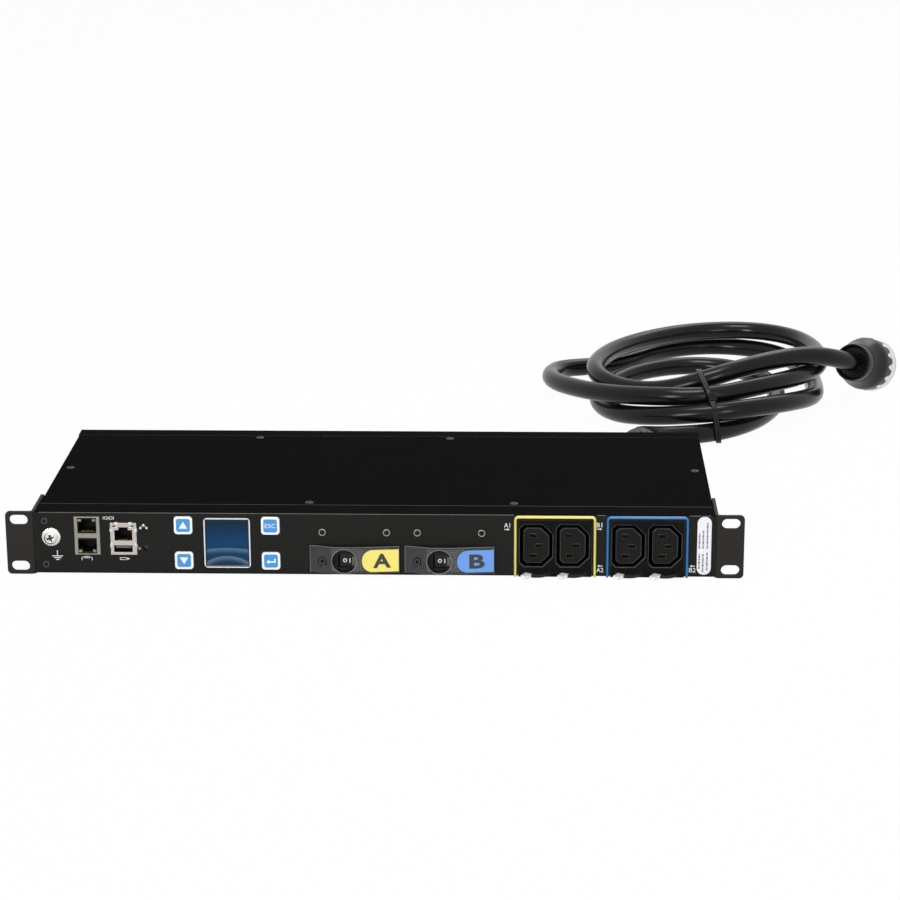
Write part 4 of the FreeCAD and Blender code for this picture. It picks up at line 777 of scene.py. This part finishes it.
label_outline = [(LABEL_RIGHT, LABEL_LOW), (LABEL_RIGHT, LABEL_HIGH)]
for up, start in ((LABEL_HIGH - LABEL_CURVE, 90), (LABEL_LOW + LABEL_CURVE, 180)):
    for i in range(LABEL_STEPS + 1):
        turn = math.radians(start + 90 * i / LABEL_STEPS)
        across = LABEL_LEFT + LABEL_CURVE + LABEL_CURVE * math.cos(turn)
        label_outline.append((across, up + LABEL_CURVE * math.sin(turn)))
sections = (("a", label_yellow, "frame_yellow", "A", 11.8), ("b", label_blue, "frame_blue", "B", 10.2))
for name, finish, slot, letter, letter_wide in sections:
    low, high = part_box("breaker_guard_" + name)
    left, right, crest = low.x / MM, high.x / MM, (front_y - low.y) / MM
    foot, top = low.z / MM, high.z / MM
    hood = [(left, HOOD_FOOT), (left + HOOD_STEP[0], HOOD_STEP[1]), (left + CREST_START, crest),
            (left + SLOPE_START, crest), (right, GUARD_END)]
    # The pale slips along top, ends and eye: painted highlights.
    bm = bmesh.new()
    top_edge = hood + [(x, h + EDGE_LIFT) for x, h in reversed(hood)]
    plate(bm, top_edge, top - EDGE, top + 0.02, ALONG)
    for x0, x1, h in ((left, left + EDGE, HOOD_FOOT), (right - EDGE, right, GUARD_END)):
        plate(bm, box_outline(x0, x1, foot, top), h, h + EDGE_LIFT, PANEL)
    eye_x = (left + right) / 2 + EYE_SHIFT
    rings = []
    for wider, lift in ((0, 0), (0, EDGE_LIFT), (EYE_EDGE, EDGE_LIFT), (EYE_EDGE, 0)):
        ring = []
        for i in range(EYE_STEPS):
            turn = 2 * math.pi * i / EYE_STEPS
            x = eye_x + (EYE_R + wider) * math.cos(turn)
            z = min(EYE_Z + (EYE_R + wider) * math.sin(turn), top)
            ring.append(bm.verts.new(PANEL @ Vector((x, z, hood_height(hood, x) + lift))))
        rings.append(ring)
    for first, second in zip(rings, rings[1:] + rings[:1]):
        skin(bm, first, second)
    modelled("guard_edges_" + name, bm, guard_edge_highlight)
    start = Vector((low.x + SLOPE_START * MM, low.y, 0))
    end = Vector((high.x, front_y - GUARD_END * MM, 0))
    run = (end - start).normalized()
    out = run.cross(Vector((0, 0, 1)))
    slope = Matrix(((run.x * MM, 0, out.x * MM, start.x), (run.y * MM, 0, out.y * MM, start.y),
                    (0, MM, 0, 0), (0, 0, 0, 1)))
    bm = bmesh.new()
    plate(bm, label_outline, 0.02, LABEL_THICK, slope)
    modelled("section_label_" + name, bm, finish)
    bm = bmesh.new()
    type_on(bm, letter, LETTER_TALL, LETTER_X, LETTER_Z, slope, LABEL_THICK, LETTER_WEIGHT, letter_wide)
    modelled("section_letter_" + name, bm, letter_dark)

# Outlets
# Black moulded blocks of two outlets in a coloured bead; in each outlet a core stands in its
# well, and below it swings a grip lever with a pale tab. The contacts are tinned copper.
# Blocks and cores go pale grey along their edges: partly wear, partly a painted highlight on edges facing
# the light.
outlet_black = coat("outlet_black", srgb(16, 16, 15), 0.5, 0.4, 0.012, wear_and_glint=srgb(150, 150, 150), gloss=0.05)
core_black = coat("core_black", srgb(23, 23, 22), 0.45, 0.4, 0.012, wear_and_glint=srgb(150, 150, 150), gloss=0.08)
# The rims' lighter, glossy grey is a painted highlight on the bevels that catch light from above.
rim_highlight = coat("rim_highlight", srgb(58, 58, 58), 0.3, 0.4, 0.01, gloss=0.5)
bead_yellow = coat("bead_yellow", srgb(232, 220, 114), 0.3, 0.5, 0.008, drift=0.06)
bead_blue = coat("bead_blue", srgb(38, 114, 174), 0.3, 0.5, 0.008, drift=0.06)
lever_black = coat("lever_black", srgb(26, 26, 26), 0.4, 0.4, 0.01, wear_and_glint=srgb(80, 80, 80), gloss=0.2)
tab_white = coat("tab_white", srgb(246, 244, 246), 0.4, 0.4, 0.01, drift=0.05)
tinned_copper = coat("tinned_copper", srgb(200, 188, 168), 0.3, 0.3, 0.006, metal=1.0)
paint(outlet_black, "outlet_block_a", "outlet_block_b")
paint(core_black, "outlet_cores_a", "outlet_cores_b")
paint(lever_black, *[f"grip_lever_{i}" for i in range(1, 5)])
paint(tab_white, *[f"grip_tab_{i}" for i in range(1, 5)])
paint(tinned_copper, "outlet_contacts", "bus_bars")
WELL = (11.0, 14.7, 6.8, 2.8)
CORE = (8.05, 11.8, 5.3, 2.2)
CORE_BACK = 0.5
RIM_WIDE = 0.45
BEAD = 1.75
BEAD_STEPS = 8
CORNER = 3.0
CORNER_LEAST = 0.3


def socket_outline(x, half_wide, half_tall, chamfer, corner):
    """An outlet's outline: two chamfers on the right, two smaller ones on the left."""
    left, right = x - half_wide, x + half_wide
    upper = [(right, half_tall - chamfer), (right - chamfer, half_tall), (left + corner, half_tall),
             (left, half_tall - corner)]
    return upper + [(a, -u) for a, u in reversed(upper)]


def bevel(bm, outline, grow, level):
    """A sloping strip along an outline: from the given level down, and inward or outward by grow."""
    middle = sum(a for a, u in outline) / len(outline)
    wide = max(a for a, u in outline) - middle
    tall = max(u for a, u in outline)
    moved = [(middle + (a - middle) * (1 + grow / wide), u * (1 + grow / tall)) for a, u in outline]
    rings = []
    for points, height in ((outline, level), (moved, level - abs(grow)), (outline, level - abs(grow))):
        rings.append(ring_of(bm, points, height, PANEL))
    for first, second in zip(rings, rings[1:] + rings[:1]):
        skin(bm, first, second)


for name in ("a", "b"):
    low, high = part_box("outlet_cores_" + name)
    proud = (front_y - low.y) / MM
    bm = bmesh.new()
    for x in (low.x / MM + CORE[0], high.x / MM - CORE[0]):
        bevel(bm, socket_outline(x, *WELL), -RIM_WIDE, proud + CORE_BACK)
        bevel(bm, socket_outline(x, *CORE), RIM_WIDE, proud)
    modelled("outlet_rims_" + name, bm, rim_highlight, smooth=20)
for name, finish, slot in (("a", bead_yellow, "frame_yellow"), ("b", bead_blue, "frame_blue")):
    low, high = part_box("outlet_frame_" + name)
    left, right, foot, top = (part / MM for part in (low.x, high.x, low.z, high.z))
    proud = (front_y - low.y) / MM
    bm = bmesh.new()
    rails = []
    for k in range(BEAD_STEPS + 1):
        swell = math.pi * k / BEAD_STEPS
        inset = BEAD / 2 * (1 - math.cos(swell))
        bend = max(CORNER - inset, CORNER_LEAST)
        path = [(left + inset, foot)]
        for across, start in ((left + inset + bend, 180), (right - inset - bend, 90)):
            for i in range(7):
                turn = math.radians(start - 15 * i)
                path.append((across + bend * math.cos(turn), top - inset - bend + bend * math.sin(turn)))
        path.append((right - inset, foot))
        rails.append(ring_of(bm, path, proud * math.sin(swell), PANEL))
    for first, second in zip(rails, rails[1:] + rails[:1]):
        for i in range(len(first) - 1):
            bm.faces.new((first[i], first[i + 1], second[i + 1], second[i]))
    for end in (0, -1):
        bm.faces.new([rail[end] for rail in rails])
    bead = modelled("outlet_bead_" + name, bm, finish)
    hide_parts("outlet_frame_" + name)
SIGN_TALL = 3.1
SIGN_WEIGHT = 0.01
SIGN_STEP = 2.8
ARROW = [(-1.7, -0.3), (0.3, -0.3), (0.3, -0.85), (1.8, 0), (0.3, 0.85), (0.3, 0.3), (-1.7, 0.3)]
signs = (("A1", 87.0, 13.6, 3.9, 1), ("B1", 147.1, 14.2, 3.7, 1),
         ("A2", 147.7, -16.8, 4.6, -1), ("B2", 208.0, -16.5, 4.5, -1))
bm = bmesh.new()
for words, x, z, wide, way in signs:
    type_on(bm, words, SIGN_TALL, x, z, PANEL, 0, SIGN_WEIGHT, wide)
    printed(bm, [(x + a * way, z - SIGN_STEP * way + u) for a, u in ARROW])
modelled("outlet_marks", bm, white_ink)

# Painted highlights on the sheets
# Thin slips of lighter coat: a painted highlight along the panel's top fold, between the outlet beads,
# and a greyer painted highlight along the cover's front edge.
fold_highlight_grey = coat("fold_highlight_grey", srgb(112, 112, 110), 0.45, 0.8, 0.02, drift=0.25, gloss=0.2)
cover_highlight_grey = coat("cover_highlight_grey", srgb(70, 70, 69), 0.5, 0.8, 0.02, drift=0.25, gloss=0.1)
FOLD_R = 1.6
FOLD_TURN = math.radians(48)
FOLD_HALF = math.radians(7)
HIGHLIGHT_THICK = 0.03
FOLD_RUNS = ((-219.5, 91.4), (145.4, 151.5), (205.6, 219.5))
bm = bmesh.new()
for run in FOLD_RUNS:
    rows = []
    for x in run:
        corner = Vector((x * MM, front_y + FOLD_R * MM, roof_z - FOLD_R * MM))
        row = []
        for turn, lift in ((-1, 0), (-1, 1), (0, 1), (1, 1), (1, 0), (0, 0)):
            angle = FOLD_TURN + FOLD_HALF * turn
            out = Vector((0, -math.cos(angle), math.sin(angle)))
            row.append(bm.verts.new(corner + out * (FOLD_R + HIGHLIGHT_THICK * lift) * MM))
        rows.append(row)
        bm.faces.new(row)
    skin(bm, rows[0], rows[1])
modelled("fold_wear", bm, fold_highlight_grey)
low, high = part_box("top_cover")
cover_front = Matrix(((0, 0, 1, 0), (MM, 0, 0, low.y), (0, MM, 0, high.z), (0, 0, 0, 1)))
sliver = [(0.5, 0), (0, -0.5), (0.02, 0.04), (0.5, 0.05)]
bm = bmesh.new()
plate(bm, sliver, low.x + MM, high.x - MM, cover_front)
modelled("cover_edge_wear", bm, cover_highlight_grey)

# Rating label
# A white obround film stuck beside the right ear; grey rules stand for its small print.
film_white = coat("film_white", srgb(232, 232, 238), 0.5, 0.3, 0.006, drift=0.04)
print_grey = coat("print_grey", srgb(112, 112, 118), 0.6, 0.3, 0.004, drift=0.1)
FILM = 0.12
bm = bmesh.new()
plate(bm, round_box(210.8, 220.0, -19.6, 20.2, 4.5, 8), 0, FILM, PANEL)
modelled("rating_film", bm, film_white)
DASHES = (1.5, 0.8, 2.2, 1.1, 1.8, 0.6)
DASH_GAP = 0.45
RULE_HALF = 0.5
RULES = ((212.3, -15.5, -5.5), (212.3, -1.5, 9.0), (214.7, -17.5, -5.0), (214.7, -1.5, 10.0),
         (217.4, -16.5, -4.5), (217.4, -1.5, 16.0))
bm = bmesh.new()
for x, foot, top in RULES:
    count = 0
    while foot < top:
        long = DASHES[count % len(DASHES)]
        dash = box_outline(x - RULE_HALF, x + RULE_HALF, foot, foot + long)
        plate(bm, dash, FILM, FILM + INK, PANEL)
        foot += long + DASH_GAP
        count += 1
modelled("rating_rules", bm, print_grey)

# Input terminals and wiring
# Pale terminal block, insulated wires to it and on to the breakers, inside the closed housing.
terminal_pale = coat("terminal_pale", srgb(196, 192, 180), 0.45, 0.4, 0.012)
wire_dark = coat("wire_dark", srgb(40, 40, 42), 0.4, 0.4, 0.008)
paint(terminal_pale, "terminal_block")
paint(wire_dark, "inner_wires")

# Cable gland
# Nylon gland in the rear wall; its domed nut, the cord's tapered strain relief, has grip ribs.
gland_black = coat("gland_black", srgb(22, 22, 22), 0.45, 0.4, 0.015, wear_and_glint=srgb(70, 70, 70), gloss=0.2)
paint(gland_black, "cable_gland", "gland_nut", "gland_locknut")
low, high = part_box("gland_nut")
gland_mid = Vector(((low.x + high.x) / 2, low.y, (low.z + high.z) / 2))
gland_r = (high.x - low.x) / 2
RIBS = 20
bm = bmesh.new()
plate(bm, round_box(-0.55, 0.55, 1.2, 9.4, 0.5, 4), -0.5, 0.5, Matrix.Scale(MM, 4))
rib = as_mesh("gland_rib", bm, gland_black)
spots, turns = [], []
for i in range(RIBS):
    turn = 2 * math.pi * i / RIBS
    spots.append(gland_mid + gland_r * Vector((math.cos(turn), 0, math.sin(turn))))
    turns.append((0, math.pi / 2 - turn, 0))
piece("gland_ribs", set_out("gland_ribs", rib, spots, turns, gland_black))

# Supply cord
# Black sheathed cable, 14.5 mm thick, out of the gland into three loose turns bound by a tie at
# the front, the tail lying over the bundle to the plug. One spline; heights are above the floor.
floor_z = cad_box[0][2]
CORD_R = 7.25
lead = [(181.5, 222, 24.5), (181.5, 243, 24), (187, 266, 17.5), (205, 287, 11)]
turn_one = [(239, 303.5, 8.4), (264, 326, 7.8), (284, 356, 7.5), (297, 393, 7.5), (300, 431, 7.6),
            (291, 470, 8.5), (264, 495, 9.5), (228, 499, 9.8), (192, 481, 9.5), (165, 447, 8.5),
            (153, 402, 7.5), (165, 354, 9.5), (194, 317, 17.6)]
turn_two = [(240, 307, 23.2), (272, 318, 25), (303, 344, 22), (325, 381, 16), (331, 431, 10),
            (331, 491, 8.4), (309, 545, 10), (257, 566.5, 10), (206, 546, 9.2), (180, 506, 8.8),
            (150, 490, 10.5), (124, 472, 13.5), (116, 438, 16), (127, 400, 19.5), (160, 351, 26),
            (200, 322, 32)]
turn_three = [(240, 320, 32.8), (280, 341, 36), (314, 376, 34), (334, 424, 30.5), (337, 480, 27.5),
              (325, 530, 26), (290, 558, 25.5), (240, 553, 25.5), (198, 523, 26), (168, 478, 28),
              (152, 424, 30), (155, 391, 29), (170, 369, 27), (192, 352.5, 28)]
tail = [(213, 344, 32.8), (237, 341.5, 40.5), (262, 350.5, 46.5), (290, 368, 49), (318, 387, 48.5),
        (342, 400, 43), (358.2, 417, 34.5)]
route = lead + turn_one + turn_two + turn_three + tail
sheath = coat("sheath_black", srgb(12, 12, 11), 0.23, 0.5, 0.02, gloss=0.2)
curve = bpy.data.curves.new("supply_cord", "CURVE")
curve.dimensions = "3D"
curve.resolution_u = 10
curve.bevel_depth = CORD_R * MM
curve.bevel_resolution = 6
curve.use_fill_caps = True
spline = curve.splines.new("NURBS")
spline.points.add(len(route) - 1)
for point, (x, y, rise) in zip(spline.points, route):
    point.co = (x * MM, y * MM, floor_z + rise * MM, 1.0)
spline.order_u = 3
spline.use_endpoint_u = True
curve.materials.append(sheath)
cord = show("supply_cord", curve)
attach(cord, "housing")
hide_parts("cord_lead", "cord_coil", "cord_tail")

# Cord tie
# A nylon strap pulled round the four strands at the front of the coil, with its lock in front.
TIE_WIDE = 4.0
TIE_GAUGE = 1.2
TIE_ROOM = 0.2
TIE_SWAY = [(0, 245.5), (34, 240.8), (50, 230.0)]
WRAP_STEPS = 32
bundle = [(306.0, 8.8), (310.0, 22.6), (320.5, 32.6), (342.5, 39.6)]


def hull(points):
    """Corners of the convex outline round points, anticlockwise."""
    ordered = sorted(points)
    sides = []
    for run in (ordered, ordered[::-1]):
        chain = []
        for spot in run:
            while len(chain) > 1:
                (ax, ay), (bx, by) = chain[-2], chain[-1]
                if (bx - ax) * (spot[1] - ay) - (by - ay) * (spot[0] - ax) > 0:
                    break
                chain.pop()
            chain.append(spot)
        sides += chain[:-1]
    return sides


def wrap(radius):
    """The strap's outline round the strands, at a radius from their centres."""
    circle = []
    for y, rise in bundle:
        for i in range(WRAP_STEPS):
            turn = 2 * math.pi * i / WRAP_STEPS
            circle.append((y + radius * math.cos(turn), rise + radius * math.sin(turn)))
    return hull(circle)


def sway(rise):
    """Where along the coil the strap crosses a height; it leans over the upper strands."""
    for (r0, x0), (r1, x1) in zip(TIE_SWAY, TIE_SWAY[1:]):
        if rise <= r1:
            break
    return x0 + (x1 - x0) * (rise - r0) / (r1 - r0)


tie_black = coat("tie_black", srgb(16, 16, 16), 0.35, 0.3, 0.01, gloss=0.16)
inner = wrap(CORD_R + TIE_ROOM)
outer = wrap(CORD_R + TIE_ROOM + TIE_GAUGE)
STRAP = Matrix(((0, 0, MM, 0), (MM, 0, 0, 0), (0, MM, 0, floor_z), (0, 0, 0, 1)))
LOCK_Y, LOCK_RISE = 312.2, 34.6
LOCK_LEAN = math.radians(24)
LOCK_HALF = 3.1
bm = bmesh.new()
band(bm, outer, inner, -TIE_WIDE / 2, TIE_WIDE / 2, STRAP)
for vert in bm.verts:
    vert.co.x += sway((vert.co.z - floor_z) / MM) * MM
lock_at = Matrix.Translation((LOCK_Y, LOCK_RISE, sway(LOCK_RISE)))
lock = STRAP @ lock_at @ Matrix.Rotation(-LOCK_LEAN, 4, "Z")
plate(bm, round_box(-3.6, 1.0, -3.2, 3.2, 0.9), -LOCK_HALF, LOCK_HALF, lock)
plate(bm, round_box(-2.8, -1.4, 3.0, 6.5, 0.5), -TIE_WIDE / 2, TIE_WIDE / 2, lock)
tie = modelled("cord_strap", bm, tie_black)
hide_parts("cord_tie")

# Plug
# A round locking plug: a cup that grips the cord, a flared black shell with a scalloped rim, a
# pale ribbed body in front of it, and three curved blades.
plug_black = coat("plug_black", srgb(13, 13, 13), 0.28, 0.5, 0.015, wear_and_glint=srgb(120, 120, 120), gloss=0.24)
plug_pale = coat("plug_pale", srgb(226, 227, 230), 0.16, 0.5, 0.008, drift=0.05, metal=0.5)
blade_metal = coat("blade_metal", srgb(206, 190, 150), 0.3, 0.3, 0.006, metal=1.0)
paint(blade_metal, "plug_blades")
plug_axis = Vector((0.460, 0.848, -0.265)).normalized()
plug_x, plug_y, plug_rise = tail[-1]
plug_at = Vector((plug_x * MM, plug_y * MM, floor_z + plug_rise * MM))
plug_turn = plug_axis.to_track_quat("Z", "Y").to_matrix().to_4x4()
PLUG = Matrix.Translation(plug_at) @ plug_turn @ Matrix.Scale(MM, 4)
NOTCHES = 14
NOTCH_DEEP = 8.4
GRIP_R = CORD_R - 0.2
cup_profile = [(GRIP_R, 6.0), (12.0, 5.6), (13.0, 4.6), (13.4, 0.6), (13.8, 0.1), (14.3, 0.0), (14.8, 0.4),
               (15.0, 1.2), (15.0, 10.0), (GRIP_R, 10.0), (GRIP_R, 6.0)]
flare_profile = [(12.0, 10.0), (15.4, 10.0), (15.9, 12.0), (16.8, 15.0), (18.1, 18.5), (19.5, 21.8),
                 (20.5, 24.2), (20.9, 26.5), (21.2, 35.6), (20.3, 36.0), (19.9, 28.0), (12.0, 28.0),
                 (12.0, 10.0)]
body_profile = [(0.0, 30.0), (19.3, 25.2), (19.6, 26.0), (19.6, 35.0), (21.0, 37.0), (21.5, 38.5),
                (21.6, 40.0), (21.4, 42.6), (0.0, 42.6)]
front_profile = [(0.0, 42.0), (21.3, 42.0), (21.5, 42.6), (21.4, 43.2), (20.6, 44.0), (0.0, 44.0)]
PLUG_RIB_R = 19.8


def scallops(k, turn):
    """Rounded notches cut back the shell's rim between its tongues."""
    if k not in (8, 9):
        return (0, 0)
    return (0, -NOTCH_DEEP * max(0.0, math.cos(NOTCHES * turn)) ** 0.6)


bm = bmesh.new()
lathe(bm, cup_profile, 48, PLUG)
collar = modelled("plug_cup", bm, plug_black)
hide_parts("plug_collar")
bm = bmesh.new()
lathe(bm, flare_profile, NOTCHES * 10, PLUG, scallops)
shell = modelled("plug_flare", bm, plug_black)
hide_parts("plug_shell")
bm = bmesh.new()
lathe(bm, body_profile, 72, PLUG)
rib_at = Matrix.Translation((PLUG_RIB_R, 0, 0)) @ Matrix.Rotation(math.radians(90), 4, "Y")
for i in range(NOTCHES):
    place = PLUG @ Matrix.Rotation(2 * math.pi * i / NOTCHES, 4, "Z") @ rib_at
    plate(bm, round_box(-37.0, -27.4, -1.3, 1.3, 1.25, 5), -1.0, 1.1, place)
front = modelled("plug_body", bm, plug_pale)
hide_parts("plug_face")
bm = bmesh.new()
lathe(bm, front_profile, 72, PLUG)
cap = modelled("plug_front", bm, plug_black)
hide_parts("plug_face")

# Studio
# White floor and surround; soft lamps in front on the left and, weaker, on the right, one above
# for the gloss on the cord, and a faint one behind.
FLOOR_HALF = 6.0
SEEN_WHITE = 0.97
AMBIENT = 0.22
bm = bmesh.new()
for across, along in ((-1, -1), (1, -1), (1, 1), (-1, 1)):
    bm.verts.new((across * FLOOR_HALF, along * FLOOR_HALF, floor_z - 0.2 * MM))
bm.faces.new(bm.verts)
floor_white = coat("floor_white", srgb(246, 246, 246), 0.9, 6.0, 0.0, drift=0.005, gloss=0.0)
floor = show("floor", as_mesh("floor", bm, floor_white))
world = bpy.data.worlds.new("studio")
bpy.context.scene.world = world
world.use_nodes = True


def seen_directly(tree, dim, bright):
    """A level that is bright where the camera, a reflection or clear plastic looks, else dim."""
    rays = add(tree, "ShaderNodeLightPath", {})
    found = rays.outputs["Is Camera Ray"]
    for kind in ("Is Glossy Ray", "Is Transmission Ray"):
        most = add(tree, "ShaderNodeMath", {0: found, 1: rays.outputs[kind]}, "MAXIMUM")
        found = most.outputs["Value"]
    return spread(tree, found, 0.0, 1.0, dim, bright)


tree = world.node_tree
feed(tree, tree.nodes["Background"], {
    "Color": (1, 1, 1, 1), "Strength": seen_directly(tree, AMBIENT, 1.0)})
tree = floor_white.node_tree
glow = add(tree, "ShaderNodeEmission", {})
both = add(tree, "ShaderNodeMixShader", {
    "Fac": seen_directly(tree, 0.0, SEEN_WHITE), 1: tree.nodes["Principled BSDF"].outputs["BSDF"],
    2: glow.outputs["Emission"]})
feed(tree, tree.nodes["Material Output"], {"Surface": both.outputs["Shader"]})
lights = {"key": ((-0.8, -2.2, 0.75), 0.7, 28), "fill": ((1.3, -2.0, 0.6), 0.6, 13),
          "top": ((0.2, 0.1, 1.3), 0.5, 9), "back": ((0.7, 1.9, 1.5), 1.0, 8)}
aim = Vector((0.05, 0.1, 0.0))
for name, (spot, size, power) in lights.items():
    lamp = bpy.data.lights.new(name, "AREA")
    lamp.size = size
    lamp.energy = power
    holder = show(name, lamp)
    holder.location = spot
    holder.rotation_euler = (aim - Vector(spot)).to_track_quat("-Z", "Y").to_euler()

# Camera
# Long lens from the front, a little above and to the right, as in the photograph.
YAW, PITCH, ROLL = (math.radians(turn) for turn in (-1.83, 16.85, -0.24))
CAMERA_AT = (0.1025, -1.6424, 0.5622)
SENSOR = 36.0
FOCUS_SHARE = 2656.7 / 900
view = bpy.data.cameras.new("view")
view.sensor_width = SENSOR
view.lens = SENSOR * FOCUS_SHARE
view.clip_end = 50
camera = show("view", view)
camera.rotation_mode = "XYZ"
camera.matrix_world = (Matrix.Translation(CAMERA_AT) @ Matrix.Rotation(-YAW, 4, "Z")
                       @ Matrix.Rotation(math.radians(90) - PITCH, 4, "X") @ Matrix.Rotation(ROLL, 4, "Z"))
bpy.context.scene.camera = camera
bpy.context.scene.view_settings.view_transform = "Standard"
